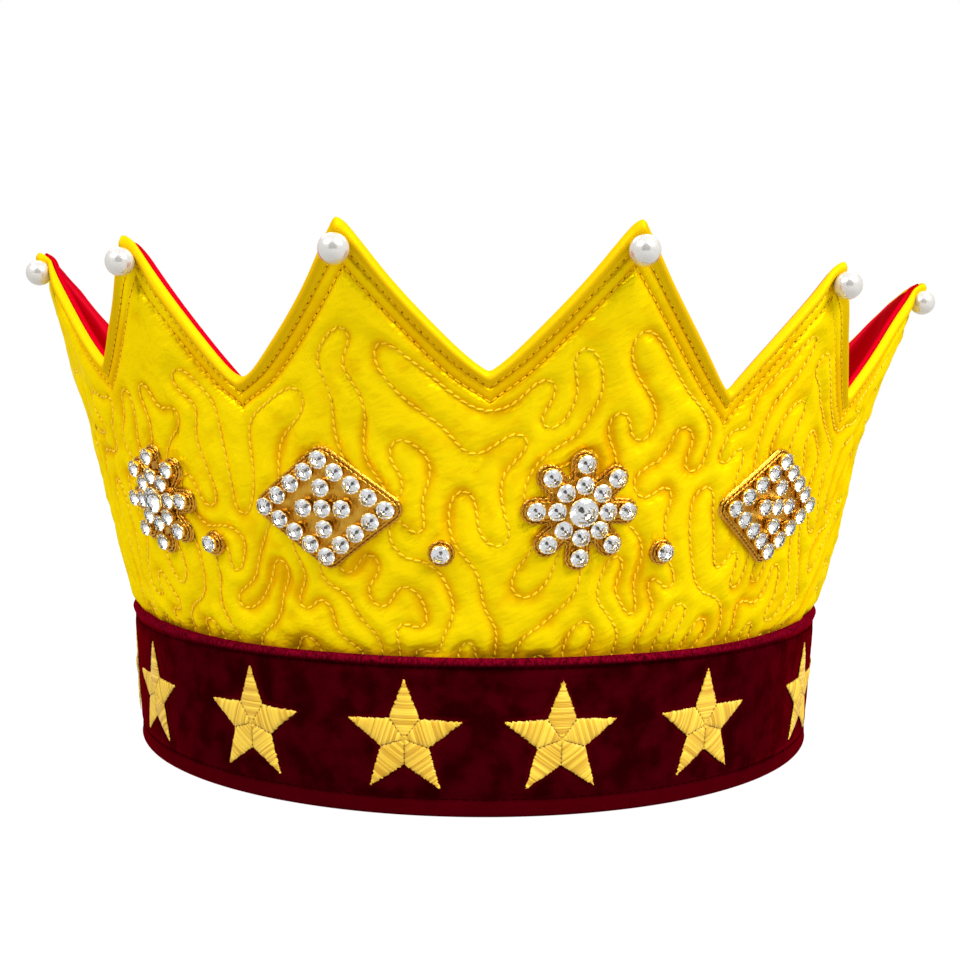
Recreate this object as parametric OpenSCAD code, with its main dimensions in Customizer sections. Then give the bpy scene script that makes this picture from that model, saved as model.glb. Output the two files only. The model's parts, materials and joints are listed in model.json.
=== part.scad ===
// A soft crown: a flared satin wall with six points in front and a plain, lower back,
// lined in red, on a velvet band with a row of embroidered stars.
// Angles run round the crown from the front (0) towards +X (90). The front faces -Y.

/* [Band] */
// Outer radius of the velvet band at its foot
band_r = 97; // [94:0.5:100]
// Height of the band, to the middle of its rolled top edge
band_h = 36.3; // [35:0.1:38]
// How far the band leans outward from its foot to its top
band_flare = 2.3; // [1.5:0.1:3]
// Radius of the roll along the top edge
roll_r = 1.25; // [1:0.05:1.4]
// Radius of the fold at the foot
fold_r = 0.95; // [0.8:0.05:1.1]
// Thickness of the velvet turned in under the wall
foot_t = 1.6; // [1.4:0.1:2]

/* [Wall and lining] */
// Thickness of the padded satin wall
satin_t = 1.7; // [1.2:0.1:2.2]
// Thickness of the red lining
lining_t = 1.35; // [1:0.05:1.6]
// Clearance between one piece and the next
layer_gap = 0.15; // [0.12:0.01:0.2]
// How much the flanks of the points hollow (1 is straight)
flank_bow = 1.2; // [1:0.05:1.4]
// How far the very tip of a point curls outward over its pearl
tip_curl = 2.0; // [0:0.1:2.2]

/* [Stars] */
// Radius of a star, centre to tip
star_r = 13.5; // [11:0.1:14]
// Radius of a star's inner corners, as a part of star_r
star_waist = 0.42; // [0.36:0.01:0.5]
// Height of the stars' centres
star_z = 17.6; // [17:0.1:18.5]
// Thickness of the embroidery
star_t = 0.8; // [0.5:0.1:1.2]
// Number of stars on the sides and back, beyond the front ones
side_stars = 10; // [8:1:11]

/* [Pearls] */
// Radius of a pearl
pearl_r = 3.15; // [2.5:0.05:3.3]

/* [Ornaments] */
// Height of the ornaments' centres
motif_z = 69.2; // [68:0.1:71]
// Radius of a cut stone
stone_r = 2; // [1.7:0.05:2.05]
// Radius of the stone in the middle of a rosette
heart_stone_r = 3.2; // [2.6:0.05:3.3]
// Depth of a stone below its widest line
stone_back = 0.9; // [0.6:0.1:1.2]
// Height of a stone above its widest line
stone_crown = 0.8; // [0.5:0.1:1]
// Radius of the flat table on a stone, as a part of its own
table_share = 0.57; // [0.5:0.01:0.65]
// Thickness of the gold bullion ground
ground_t = 1.3; // [1:0.1:1.6]
// How far the ground reaches beyond the stones
ground_edge = 0.95; // [0.7:0.05:1.1]
// Half width of a lozenge, to the middle of its stones
lozenge_w = 14.2; // [13.8:0.1:15]
// Half height of a lozenge, to the middle of its stones
lozenge_h = 10.5; // [10.3:0.1:11]
// Radius of a rosette's inner ring of stones
ring_r = 5.6; // [5.5:0.05:5.8]
// Radius of a rosette's outer stones
ray_r = 10.1; // [10:0.1:11]

/* [Hidden] */
TIP = 1;
DIP = 0;
RIM = 2;
ANGLE = 0;
HEIGHT = 1;
LEAN = 2;
KIND = 3;
BOW = 4;
DROP = 5;

// The wall's side view: height above the band's top edge, reach beyond the band's foot radius
SIDE = [
    [-36.3, -1.9], [0, 0], [1, 0.1], [2.9, 2.3], [15.7, 5.7], [47.7, 12.9], [58.7, 15.8], [88.7, 27.7], [96.7, 30.9]
];

// The upper edge: angle, height above the foot, lean outward near the top, kind of place, how
// much the edge sags towards the next place, and at a tip how far below it the pearl's centre sits
EDGE = [
    [-65.3, 129.6, -4.3, TIP, 1.00, 4.5], [-52.3, 101.5, 0.0, DIP, 1.00],
    [-39.1, 127.1, -1.9, TIP, 1.08, 5.3], [-27.9, 97.0, 0.0, DIP, 1.15],
    [-13.6, 126.6, 1.3, TIP, 1.07, 5.6], [0.4, 98.0, 0.0, DIP, 1.02],
    [13.9, 127.0, 0.7, TIP, 0.93, 5.5], [28.4, 95.3, 0.0, DIP, 0.83],
    [41.5, 124.3, -4.1, TIP, 1.00, 5.0], [53.0, 95.4, 0.0, DIP, 0.88],
    [69.8, 126.1, -1.8, TIP, 1.00, 4.9], [77.0, 126.0, -1.8, RIM],
    [84.0, 124.7, -2.0, RIM], [90.5, 120.6, -2.0, RIM],
    [97.0, 113.8, -2.0, RIM], [108.0, 103.8, -1.0, RIM],
    [118.0, 97.3, 0.0, RIM], [130.0, 94.6, 0.0, RIM],
    [145.0, 94.0, 0.0, RIM], [215.0, 94.0, 0.0, RIM],
    [230.0, 94.6, 0.0, RIM], [241.0, 97.3, 0.0, RIM],
    [251.0, 107.0, -1.0, RIM], [262.0, 119.8, -2.0, RIM],
    [268.5, 126.5, -3.0, RIM], [276.0, 131.3, -3.0, RIM],
    [284.0, 131.6, -3.4, RIM]
];

// Angles of the front stars, of the four ornaments, and of the single stones between those
FRONT_STARS = [-57.6, -32.6, -9.9, 10.6, 32.6, 60.6];
MOTIF_ANGLES = [-45.0, -18.5, 11.2, 39.0];
SPACER_ANGLES = [-35.6, -4.9, 22.1];
spacer_z = motif_z - 9.4;

// Steps along the upper edge, the span of heights over which a point leans, and rings in a column
flank_steps = 5;
rim_step = 6;
lean_from = 95;
lean_full = 125;
flare_z = 84;
curl_depth = 2.4;

// Small shares and reaches
fold_bulge = 0.25;
culet_share = 0.55;
ring_overlap = 0.6;
stone_gap = 0.12;
pearl_gap = 0.5;
cut_reach = 12;
facets = 8;
lozenge_side = 4;
heart_r = 4.5;
round_fn = 96;
edge_fn = 32;

hem_z = foot_t + layer_gap;
lining_inset = satin_t + layer_gap;
ground_r = stone_r + ground_edge;
motifs = len(MOTIF_ANGLES);
spacers = len(SPACER_ANGLES);
tips = [for (place = EDGE) if (place[KIND] == TIP) place];
back_turn = (360 + FRONT_STARS[0] - FRONT_STARS[5]) / (side_stars + 1);
star_angles = concat(FRONT_STARS, [for (i = [1:side_stars]) FRONT_STARS[5] + i * back_turn]);

// Radius of the wall's outer face, its slope, and the share of a point's lean, all at height z
function wall_r(z) = band_r + lookup(z - band_h, SIDE);
function wall_slope(z) = (wall_r(z + 1) - wall_r(z - 1)) / 2;
function lean_share(z) = max(0, (z - lean_from) / (lean_full - lean_from));

// Radius of the band's outer face at height z
function band_face(z) = band_r + band_flare * z / band_h;

// A place r out from the axis, at an angle round the crown
function around(r, angle) = [r * sin(angle), -r * cos(angle)];

// Columns of the wall, each its angle, the height of the upper edge there, and the lean
function turn(a, b) = (b[ANGLE] - a[ANGLE] + 360) % 360;
function is_flank(a, b) = a[KIND] != RIM && b[KIND] != RIM;
function column_count(a, b) = is_flank(a, b) ? flank_steps : ceil(turn(a, b) / rim_step);
function flank_height(a, b, f) =
    let (high = max(a[HEIGHT], b[HEIGHT]), low = min(a[HEIGHT], b[HEIGHT]))
        low + (high - low) * pow(a[KIND] == TIP ? 1 - f : f, flank_bow * a[BOW]);
function edge_height(a, b, f) =
    is_flank(a, b) ? flank_height(a, b, f) : a[HEIGHT] + (b[HEIGHT] - a[HEIGHT]) * f;
columns = [
    for (i = [0:len(EDGE) - 1])
        let (a = EDGE[i], b = EDGE[(i + 1) % len(EDGE)], n = column_count(a, b))
            for (j = [0:n - 1])
                let (f = j / n)
                    [
                        a[ANGLE] + turn(a, b) * f, edge_height(a, b, f), a[LEAN] + (b[LEAN] - a[LEAN]) * f,
                        j == 0 ? a[KIND] : RIM
                    ]
];

// Heights of the rings of points in one column, from the hem to the upper edge
function ring_heights(top) =
    [hem_z, band_h + 1, band_h + 2.9, band_h + 15.7, flare_z, (flare_z + top) / 2, top - curl_depth, top];
function curl(column, z) =
    column[KIND] == TIP ? tip_curl * max(0, 1 - (column[HEIGHT] - z) / curl_depth) : 0;
function wall_point(column, z, inset) =
    let (r = wall_r(z) + column[LEAN] * lean_share(z) + curl(column, z) - inset)
        [each around(r, column[ANGLE]), z];

// The middle of the crown's box, seen from above, lies on the origin
function pearl_z(tip) = tip[HEIGHT] - tip[DROP];
function pearl_reach(tip) =
    wall_r(pearl_z(tip)) + tip[LEAN] * lean_share(pearl_z(tip)) + pearl_gap + pearl_r;
function lowest(axis) = min(concat(
    [for (column = columns) wall_point(column, column[HEIGHT], 0)[axis]],
    [for (tip = tips) around(pearl_reach(tip), tip[ANGLE])[axis] - pearl_r]
));
function highest(axis) = max(concat(
    [for (column = columns) wall_point(column, column[HEIGHT], 0)[axis]],
    [for (tip = tips) around(pearl_reach(tip), tip[ANGLE])[axis] + pearl_r]
));
centre_shift = [for (axis = [0, 1]) -(lowest(axis) + highest(axis)) / 2];

// Centres of the stones, in the plane of an ornament
function between(a, b, n) = [for (i = [0:n - 1]) a + (b - a) * i / n];
function spoke(r, i, n) = r * [cos(i * 360 / n), sin(i * 360 / n)];
lozenge_corners = [[lozenge_w, 0], [0, lozenge_h], [-lozenge_w, 0], [0, -lozenge_h]];
lozenge = [
    for (i = [0:3]) each between(lozenge_corners[i], lozenge_corners[(i + 1) % 4], lozenge_side),
    for (i = [0:3]) spoke(heart_r, i, 4)
];
rosette = [for (r = [ring_r, ray_r], i = [0:facets - 1]) spoke(r, i, facets)];
function is_rosette(i) = i % 2 == 0;

// One layer of the wall between two insets, following the points of the upper edge
module layer(outer, inner) {
    n = len(columns);
    rings = len(ring_heights(0));
    function grid(inset) =
        [for (k = [0:rings - 1], column = columns) wall_point(column, ring_heights(column[HEIGHT])[k], inset)];
    function at(side, k, c) = side * rings * n + k * n + c % n;
    function quad(a, b, c, d) = [[a, b, c], [a, c, d]];
    top = rings - 1;
    faces = [
        for (c = [0:n - 1], k = [0:rings - 2]) each concat(
            quad(at(0, k, c), at(0, k + 1, c), at(0, k + 1, c + 1), at(0, k, c + 1)),
            quad(at(1, k, c), at(1, k, c + 1), at(1, k + 1, c + 1), at(1, k + 1, c))
        ),
        for (c = [0:n - 1]) each concat(
            quad(at(0, top, c), at(1, top, c), at(1, top, c + 1), at(0, top, c + 1)),
            quad(at(0, 0, c), at(0, 0, c + 1), at(1, 0, c + 1), at(1, 0, c))
        )
    ];
    polyhedron(points = concat(grid(outer), grid(inner)), faces = faces);
}

module satin_wall() {
    color([0.96, 0.83, 0.06]) layer(0, satin_t);
}

module red_lining() {
    color([0.8, 0.02, 0.12]) layer(lining_inset, lining_inset + lining_t);
}

module velvet_band() {
    inner_r = wall_r(hem_z) - lining_inset - lining_t;
    color([0.3, 0.0, 0.08]) rotate_extrude($fn = round_fn) {
        polygon([
            [inner_r, 0], [band_r - fold_r, 0], [band_r, fold_r], [band_face(band_h), band_h],
            [wall_r(band_h) + layer_gap, band_h], [wall_r(foot_t) + layer_gap, foot_t], [inner_r, foot_t]
        ]);
        translate([band_r - fold_r + fold_bulge, fold_r]) circle(r = fold_r, $fn = edge_fn);
        translate([wall_r(band_h) + layer_gap + roll_r, band_h]) circle(r = roll_r, $fn = edge_fn);
    }
}

// A flat outline, turned to an angle round the crown and pushed outward through its wall
module outward(angle, z) {
    rotate([0, 0, angle]) translate([0, -band_r + cut_reach, z]) rotate([90, 0, 0])
        linear_extrude(3 * cut_reach) children();
}

// A thin sleeve round the axis between two heights, given its inner radius at each
module sleeve(low, high, low_r, high_r, thickness) {
    rotate_extrude($fn = round_fn)
        polygon([[low_r, low], [low_r + thickness, low], [high_r + thickness, high], [high_r, high]]);
}

module star_outline() {
    polygon([
        for (i = [0:9])
            let (a = 90 + 36 * i, r = i % 2 == 0 ? star_r : star_r * star_waist)
                [r * cos(a), r * sin(a)]
    ]);
}

module star(angle) {
    low = star_z - star_r - 1;
    high = star_z + star_r + 1;
    color([0.93, 0.75, 0.2]) intersection() {
        outward(angle, star_z) star_outline();
        sleeve(low, high, band_face(low) + layer_gap, band_face(high) + layer_gap, star_t);
    }
}

module pearl(tip) {
    color([0.93, 0.91, 0.88])
        translate([each around(pearl_reach(tip), tip[ANGLE]), pearl_z(tip)]) sphere(r = pearl_r, $fn = round_fn);
}

// A bar with round ends between two places in a plane
module bar(a, b) {
    d = b - a;
    translate(a) circle(r = ground_r, $fn = edge_fn);
    translate(b) circle(r = ground_r, $fn = edge_fn);
    translate(a) rotate(atan2(d[1], d[0])) translate([0, -ground_r]) square([norm(d), 2 * ground_r]);
}

module lozenge_ground() {
    for (i = [0:3]) bar(lozenge_corners[i], lozenge_corners[(i + 1) % 4]);
    bar([-heart_r, 0], [heart_r, 0]);
    bar([0, -heart_r], [0, heart_r]);
}

module rosette_ground() {
    circle(r = ring_r + ground_r - ring_overlap, $fn = round_fn);
    for (i = [0:facets - 1]) bar([0, 0], spoke(ray_r, i, facets));
}

// Gold bullion ground of an ornament, lying on the wall
module ground(angle, z, reach) {
    low = z - reach;
    high = z + reach;
    color([0.62, 0.45, 0.12]) intersection() {
        outward(angle, z) children();
        sleeve(low, high, wall_r(low) + layer_gap, wall_r(high) + layer_gap, ground_t);
    }
}

module motif(i) {
    ground(MOTIF_ANGLES[i], motif_z, ray_r + ground_r + 1) {
        if (is_rosette(i)) rosette_ground(); else lozenge_ground();
    }
}

module spacer(i) {
    ground(SPACER_ANGLES[i], spacer_z, ground_r + 1) circle(r = ground_r, $fn = edge_fn);
}

// A stone of radius r with a ring of facets above and below its widest line, under a flat table
module cut_stone(r) {
    size = r / stone_r;
    profile = [
        [r * culet_share, 0],
        [r, stone_back * size],
        [r * table_share, (stone_back + stone_crown) * size]
    ];
    polyhedron(
        points = [for (ring = profile, i = [0:facets - 1]) [each spoke(ring[0], i + 0.5, facets), ring[1]]],
        faces = [
            [for (i = [0:facets - 1]) i],
            [for (i = [facets - 1:-1:0]) 2 * facets + i],
            for (k = [0, facets], i = [0:facets - 1])
                let (next = (i + 1) % facets)
                    [k + i, k + facets + i, k + facets + next, k + next]
        ]
    );
}

// A stone standing on an ornament's ground, square to the wall
module stone(angle, z, across, r) {
    face_r = wall_r(z) + layer_gap + ground_t + stone_gap;
    color([0.85, 0.9, 0.95]) rotate([0, 0, angle + asin(across / (face_r + stone_back))])
        translate([0, -face_r, z]) rotate([90 + atan(wall_slope(z)), 0, 0]) cut_stone(r);
}

module stones(i) {
    stone(MOTIF_ANGLES[i], motif_z, 0, is_rosette(i) ? heart_stone_r : stone_r);
    for (p = is_rosette(i) ? rosette : lozenge) stone(MOTIF_ANGLES[i], motif_z + p[1], p[0], stone_r);
}

translate(centre_shift) {
    velvet_band();
    satin_wall();
    red_lining();
    for (i = [1:len(star_angles)])
        star(star_angles[i - 1]);
    for (i = [1:len(tips)])
        pearl(tips[i - 1]);
    for (i = [1:motifs]) {
        motif(i - 1);
        stones(i - 1);
    }
    for (i = [1:spacers]) {
        spacer(i - 1);
        stone(SPACER_ANGLES[i - 1], spacer_z, 0, stone_r);
    }
}
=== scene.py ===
# %% [markdown]
# A quilted satin crown, dressed piece by piece
#
# The crown is a flared ring of padded yellow satin with six points in front and a plain, lower
# back. It is lined in red, stands on a velvet band with embroidered stars, and carries a pearl on
# each point and four ornaments of cut stones on gold wire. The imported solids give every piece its
# size and place, and this notebook gives each its true cloth, thread, wire or stone.
#
# One could texture the solids and stop there. Quilting, satin stitch and twisted wire are relief
# that catches the light, so they are made as real geometry here, and the materials only add what is
# finer than a thread.

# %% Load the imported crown
import json
import math
import random

import bmesh
import bpy
import numpy as np
from mathutils import Matrix, Vector, kdtree, noise
from mathutils.bvhtree import BVHTree

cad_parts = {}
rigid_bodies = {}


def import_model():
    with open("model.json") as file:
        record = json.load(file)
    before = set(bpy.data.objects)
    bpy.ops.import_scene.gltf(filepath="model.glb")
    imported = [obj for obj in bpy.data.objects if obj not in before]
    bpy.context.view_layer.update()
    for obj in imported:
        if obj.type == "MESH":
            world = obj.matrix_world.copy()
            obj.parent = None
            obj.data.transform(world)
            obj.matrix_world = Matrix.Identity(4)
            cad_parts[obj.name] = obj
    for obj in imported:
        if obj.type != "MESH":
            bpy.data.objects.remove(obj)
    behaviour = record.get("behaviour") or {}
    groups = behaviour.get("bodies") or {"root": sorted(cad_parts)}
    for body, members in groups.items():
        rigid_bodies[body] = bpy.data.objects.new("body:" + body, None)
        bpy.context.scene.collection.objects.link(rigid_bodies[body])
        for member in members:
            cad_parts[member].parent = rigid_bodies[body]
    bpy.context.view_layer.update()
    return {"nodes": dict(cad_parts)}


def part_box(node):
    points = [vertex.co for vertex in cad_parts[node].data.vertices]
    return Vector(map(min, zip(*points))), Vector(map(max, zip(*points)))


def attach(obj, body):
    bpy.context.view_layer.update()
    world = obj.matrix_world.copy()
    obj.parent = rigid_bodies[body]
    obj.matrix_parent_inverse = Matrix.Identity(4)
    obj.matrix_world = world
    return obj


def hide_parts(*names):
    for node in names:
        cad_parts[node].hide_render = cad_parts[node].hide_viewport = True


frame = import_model()
NODES = frame["nodes"]
MM = 0.001

# %% [markdown]
# Finding places on the wall
#
# Everything sewn to the crown is placed by an angle round it and a height. The angle is 0 at the
# front and grows towards +X. The wall is not a plain cone: it flares more towards its points, and
# each point leans its own way. The sides of the solid are read column by column into a table of
# radii, which is then smoothed, because cloth has no creases between its columns.

# %% Angles and heights
band_low, band_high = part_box("velvet_band")
AXIS = np.array([(band_low.x + band_high.x) / 2, (band_low.y + band_high.y) / 2])
BAND_TOP = band_high.z
THETA_STEP = 0.05
THETA = np.arange(0, 360, THETA_STEP)
HEIGHT_STEP = 0.5 * MM
HEIGHTS = np.arange(0, 280) * HEIGHT_STEP


print("velvet band's top, mm:", round(BAND_TOP / MM, 2), " axis, mm:", (AXIS / MM).round(2))


def mesh_points(obj):
    co = np.zeros(len(obj.data.vertices) * 3)
    obj.data.vertices.foreach_get("co", co)
    return co.reshape(-1, 3)


def to_polar(points):
    x, y = points[:, 0] - AXIS[0], points[:, 1] - AXIS[1]
    return np.degrees(np.arctan2(x, -y)) % 360, np.hypot(x, y), points[:, 2]


def signed(theta):
    """An angle counted from the front, from -180 to 180 degrees."""
    return (np.asarray(theta) + 180) % 360 - 180


def way_round(theta, start, radius):
    """Distance round a circle from the angle start to theta, in metres."""
    return np.radians(signed(theta - start)) * radius


# %% Read the columns of the wall
COLUMN_GAP = 0.3
SAME_LEVEL = 1e-5


def read_columns(node):
    """Angle of each column of a wall solid, with the heights and outer radii of its points."""
    theta, r, z = to_polar(mesh_points(NODES[node]))
    order = np.argsort(theta)
    columns = []
    for near in np.split(order, np.where(np.diff(theta[order]) > COLUMN_GAP)[0] + 1):
        levels = np.unique(np.round(z[near], 5))
        radii = [r[near][np.abs(z[near] - level) < SAME_LEVEL].max() for level in levels]
        columns.append((theta[near].mean(), levels, np.array(radii)))
    return columns


wall_columns = read_columns("satin_wall")
column_angles = np.array([c[0] for c in wall_columns])
column_tops = np.array([c[1][-1] for c in wall_columns])


def radii_at(levels, radii):
    """A column's radii at the table's heights, carried on straight above the column's top."""
    slope = (radii[-1] - radii[-2]) / (levels[-1] - levels[-2])
    return np.interp(HEIGHTS, levels, radii) + np.clip(HEIGHTS - levels[-1], 0, None) * slope


by_column = np.array([radii_at(c[1], c[2]) for c in wall_columns])
skin = np.array([np.interp(THETA, column_angles, level, period=360) for level in by_column.T]).T


def softened(table, width):
    """Each angle's radii averaged over a few heights, which takes out the creases between rings."""
    weights = np.hanning(width) / np.hanning(width).sum()
    padded = np.pad(table, ((0, 0), (width // 2, width // 2)), mode="edge")
    return np.array([np.convolve(row, weights, mode="valid") for row in padded])


TIPS_FROM, TIPS_FULL = 108 * MM, 116 * MM
near_tips = np.clip((HEIGHTS - TIPS_FROM) / (TIPS_FULL - TIPS_FROM), 0, 1)
skin = softened(skin, 15) * (1 - near_tips) + softened(skin, 5) * near_tips
at_band = round(BAND_TOP / HEIGHT_STEP)
print("columns read:", len(wall_columns), " radius at the band's top, mm:", round(skin[0, at_band] / MM, 1))


# %% Put a point on the wall
def lookup_skin(theta, z):
    """Radius of the wall's outer face at angles (degrees) and heights (metres)."""
    a = (np.asarray(theta, float) % 360) / THETA_STEP
    h = np.clip(np.asarray(z, float) / HEIGHT_STEP, 0, len(HEIGHTS) - 1.001)
    i, k = np.floor(a).astype(int) % len(THETA), np.floor(h).astype(int)
    fa, fh = a - np.floor(a), h - k
    j = (i + 1) % len(THETA)
    low = skin[i, k] * (1 - fa) + skin[j, k] * fa
    high = skin[i, k + 1] * (1 - fa) + skin[j, k + 1] * fa
    return low * (1 - fh) + high * fh


def place(theta, z, lift, radius=lookup_skin):
    """Points on a wall, lifted square to it by lift metres."""
    theta, z = np.broadcast_arrays(np.asarray(theta, float), np.asarray(z, float))
    step = MM
    slope = (radius(theta, z + step) - radius(theta, z - step)) / (2 * step)
    square = np.sqrt(1 + slope ** 2)
    r = radius(theta, z) + lift / square
    a = np.radians(theta)
    return np.stack([AXIS[0] + r * np.sin(a), AXIS[1] - r * np.cos(a), z - lift * slope / square], axis=-1)


def facing(theta, z, radius=lookup_skin):
    """Right, up and outward directions of the wall at one place, as columns of a matrix."""
    out = Vector(place(theta, z, MM, radius) - place(theta, z, 0, radius)).normalized()
    right = Vector((math.cos(math.radians(theta)), math.sin(math.radians(theta)), 0))
    return Matrix((right, out.cross(right), out)).transposed()


print("wall's radius in front and behind at 60 mm height, mm:", (lookup_skin([0, 180], 60 * MM) / MM).round(1))

# %% [markdown]
# The upper edge
#
# The edge runs up and down the six points and then along the low back. Its solid is a chain of
# short straight steps. Sewn cloth bends smoothly between the corners and is only sharp at the tips
# and in the dips, so the slope is blended inside each flank but never across a corner, and the
# height is summed up from it again. The rows of stitching later follow the same slopes, which is
# what makes them meet in a sharp V as they do on the real crown.

# %% Smooth the upper edge between its corners
mean_r = float(np.mean([c[2][-1] for c in wall_columns]))
steps = np.diff(np.append(column_angles, column_angles[0] + 360))
rises = np.diff(np.append(column_tops, column_tops[0]))
slopes = rises / (np.radians(steps) * mean_r)
CORNER_TURN = 0.7
corners = [i for i in range(len(slopes)) if abs(slopes[i] - slopes[i - 1]) > CORNER_TURN]
edge_slope = np.zeros(len(THETA))
edge_z = np.zeros(len(THETA))
for first, last in zip(corners, corners[1:] + corners[:1]):
    members = [(first + k) % len(slopes) for k in range((last - first) % len(slopes) or len(slopes))]
    start, widths = column_angles[first], steps[members]
    inside = (THETA - start) % 360 < widths.sum()
    along = ((THETA - start) % 360)[inside]
    fine = np.linspace(0, widths.sum(), 400)
    fine_slope = np.interp(fine, np.cumsum(widths) - widths / 2, slopes[members])
    climbs = (fine_slope[1:] + fine_slope[:-1]) / 2 * np.diff(np.radians(fine)) * mean_r
    rise = np.concatenate([[0], np.cumsum(climbs)])
    drift = (column_tops[last] - column_tops[first]) - rise[-1]
    edge_slope[inside] = np.interp(along, fine, fine_slope)
    edge_z[inside] = column_tops[first] + np.interp(along, fine, rise + drift * fine / widths.sum())
corner_angles = sorted(column_angles[i] for i in corners)
print("corners of the edge:", len(corners), " highest, mm:", round(edge_z.max() / MM, 1))


# %% Blend and look up along the edge
def share(x, low, high):
    """Smoothly from 0 at low to 1 at high."""
    t = np.clip((np.asarray(x, float) - low) / (high - low), 0, 1)
    return t * t * (3 - 2 * t)


def at_angle(table, theta):
    return np.interp(np.asarray(theta, float) % 360, np.append(THETA, 360), np.append(table, table[0]))


# %% Round the tips and dips a little
edge_stretch = np.sqrt(1 + edge_slope ** 2)
TIP_ROUND, DIP_ROUND, ROUND_REACH = 1.6 * MM, 0.8 * MM, 6 * MM
WIDE_DIP, WIDE_DIP_ROUND = -27.9, 2.4 * MM
LIP_FROM, LIP_TO = 0.5 * MM, 3.4 * MM
edge_corners = [(column_angles[i], slopes[i - 1] - slopes[i]) for i in corners]


def rounding(theta):
    """How far the round-cornered edge stands above the sharp one: up beside tips, down beside dips."""
    total = np.zeros(np.shape(theta))
    for angle, turn in edge_corners:
        wide = abs(signed(angle - WIDE_DIP)) < 1
        soft = TIP_ROUND if turn > 0 else WIDE_DIP_ROUND if wide else DIP_ROUND
        along = way_round(np.asarray(theta), angle, mean_r)
        bend = np.sqrt(along ** 2 + soft ** 2) - np.abs(along)
        total = total + turn / 2 * (soft * np.exp(-(along / ROUND_REACH) ** 2) - bend)
    return total


def row_height(theta, inset):
    """Height of a line that keeps a true distance below the upper edge."""
    lip = 1 - share(inset, LIP_FROM, LIP_TO)
    return at_angle(edge_z, theta) + lip * rounding(theta) - inset * at_angle(edge_stretch, theta)


def edge_distance(theta, z):
    """True distance of a place below the upper edge."""
    stretch = at_angle(edge_stretch, theta)
    sharp = (at_angle(edge_z, theta) - z) / stretch
    return sharp + rounding(theta) / stretch * (1 - share(sharp, LIP_FROM, LIP_TO))


# %% [markdown]
# Pieces that are rings of cloth
#
# The satin, the lining and the band are all one strip of cloth bent round into a ring. Blender's
# grid is bent round by moving its points: across the grid goes round the crown, and up the grid
# goes up the outside, over the rolled edge and down the inside. The two pairs of borders meet and
# are merged, which leaves a closed skin with no seam. The same bent grid makes the twisted wires,
# the ornaments' pads and the embroidery threads further down, so it may also stay open one way.

# %% Bend a grid
def bent_grid(points, closed=(True, True)):
    """A grid whose points go to points[column, row]. A closed way ends where it began."""
    columns, rows = points.shape[:2]
    across, up = columns - (not closed[0]), rows - (not closed[1])
    bm = bmesh.new()
    bmesh.ops.create_grid(bm, x_segments=across, y_segments=up, size=0.5)
    for v in bm.verts:
        v.co = points[round((v.co.x + 0.5) * across) % columns, round((v.co.y + 0.5) * up) % rows]
    bmesh.ops.remove_doubles(bm, verts=bm.verts, dist=1e-6)
    if all(closed):
        bmesh.ops.recalc_face_normals(bm, faces=bm.faces)
    return bm


def show(name, mesh, smooth=True):
    """A mesh put in the scene as an object at the origin."""
    if smooth:
        mesh.shade_smooth()
    obj = bpy.data.objects.new(name, mesh)
    bpy.context.scene.collection.objects.link(obj)
    return obj


def ring_of_cloth(name, points):
    bm = bent_grid(points)
    mesh = bpy.data.meshes.new(name)
    bm.to_mesh(mesh)
    bm.free()
    return show(name, mesh)


# %% Spread the columns, and make soft noise
def columns_round(front_step, back_step):
    """Angles for a ring's columns, closer in front than behind, with one on every corner."""
    marks = np.append(corner_angles, corner_angles[0] + 360)
    angles = []
    for a, b in zip(marks[:-1], marks[1:]):
        fine = np.linspace(a, b, 400)
        behind = share(np.abs(signed(fine)), 92, 104)
        beside = share(np.minimum(fine - a, b - fine), 0.4, 2.0)
        crowd = 1 / ((front_step + (back_step - front_step) * behind) * (0.4 + 0.6 * beside))
        total = np.concatenate([[0], np.cumsum((crowd[1:] + crowd[:-1]) / 2 * np.diff(fine))])
        count = max(2, math.ceil(total[-1]))
        angles.extend(np.interp(np.arange(count) / count * total[-1], total, fine))
    return np.array(angles)


def drift_noise(theta, z, size, seed):
    """Soft noise over the wall, about -1 to 1, with lumps of the given size in metres."""
    a = np.radians(theta)
    flat = np.stack([np.sin(a) * 0.11, -np.cos(a) * 0.11, z], axis=-1).reshape(-1, 3) / size
    return np.array([noise.noise(Vector(p) + Vector((seed, 0, 0))) for p in flat]).reshape(np.shape(theta))


# %% [markdown]
# The quilting line
#
# The satin is quilted free-hand: one line of stitches wanders over it in round-ended lobes and
# never crosses itself. A line like that can be grown. It starts as a plain wave round the crown and
# keeps getting longer. Each of its points is drawn towards its two neighbours, which keeps the line
# smooth, and is pushed away by every other point that comes too near, so the line has to buckle
# into lobes until it fills the wall. A walk through a maze would fill it too, but its corners and
# straight runs look like a maze.
#
# The wall is unrolled for this: x runs round the crown and y is the height, both in millimetres.

# %% Grow the quilting line
WALL_R = 0.107
UNROLLED = 2 * math.pi * WALL_R / MM
QUILT_FOOT, QUILT_EDGE = 33.0, 8.5
QUILT_START = 62
QUILT_SPACING, QUILT_LINK = 6.6, 2.1
QUILT_LENGTH = 6800
GROWTH = 0.035
LONGEST_MOVE = 0.7
SEAM_OUTER = 2.7 * MM
SEAM_INNER = 5.2 * MM
STITCH = 1.85 * MM


def neighbours(points):
    """The next and the previous point of each point on a line that closes round the crown."""
    after, before = np.roll(points, -1, axis=0), np.roll(points, 1, axis=0)
    after[-1, 0] += UNROLLED
    before[0, 0] -= UNROLLED
    return after, before


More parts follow.
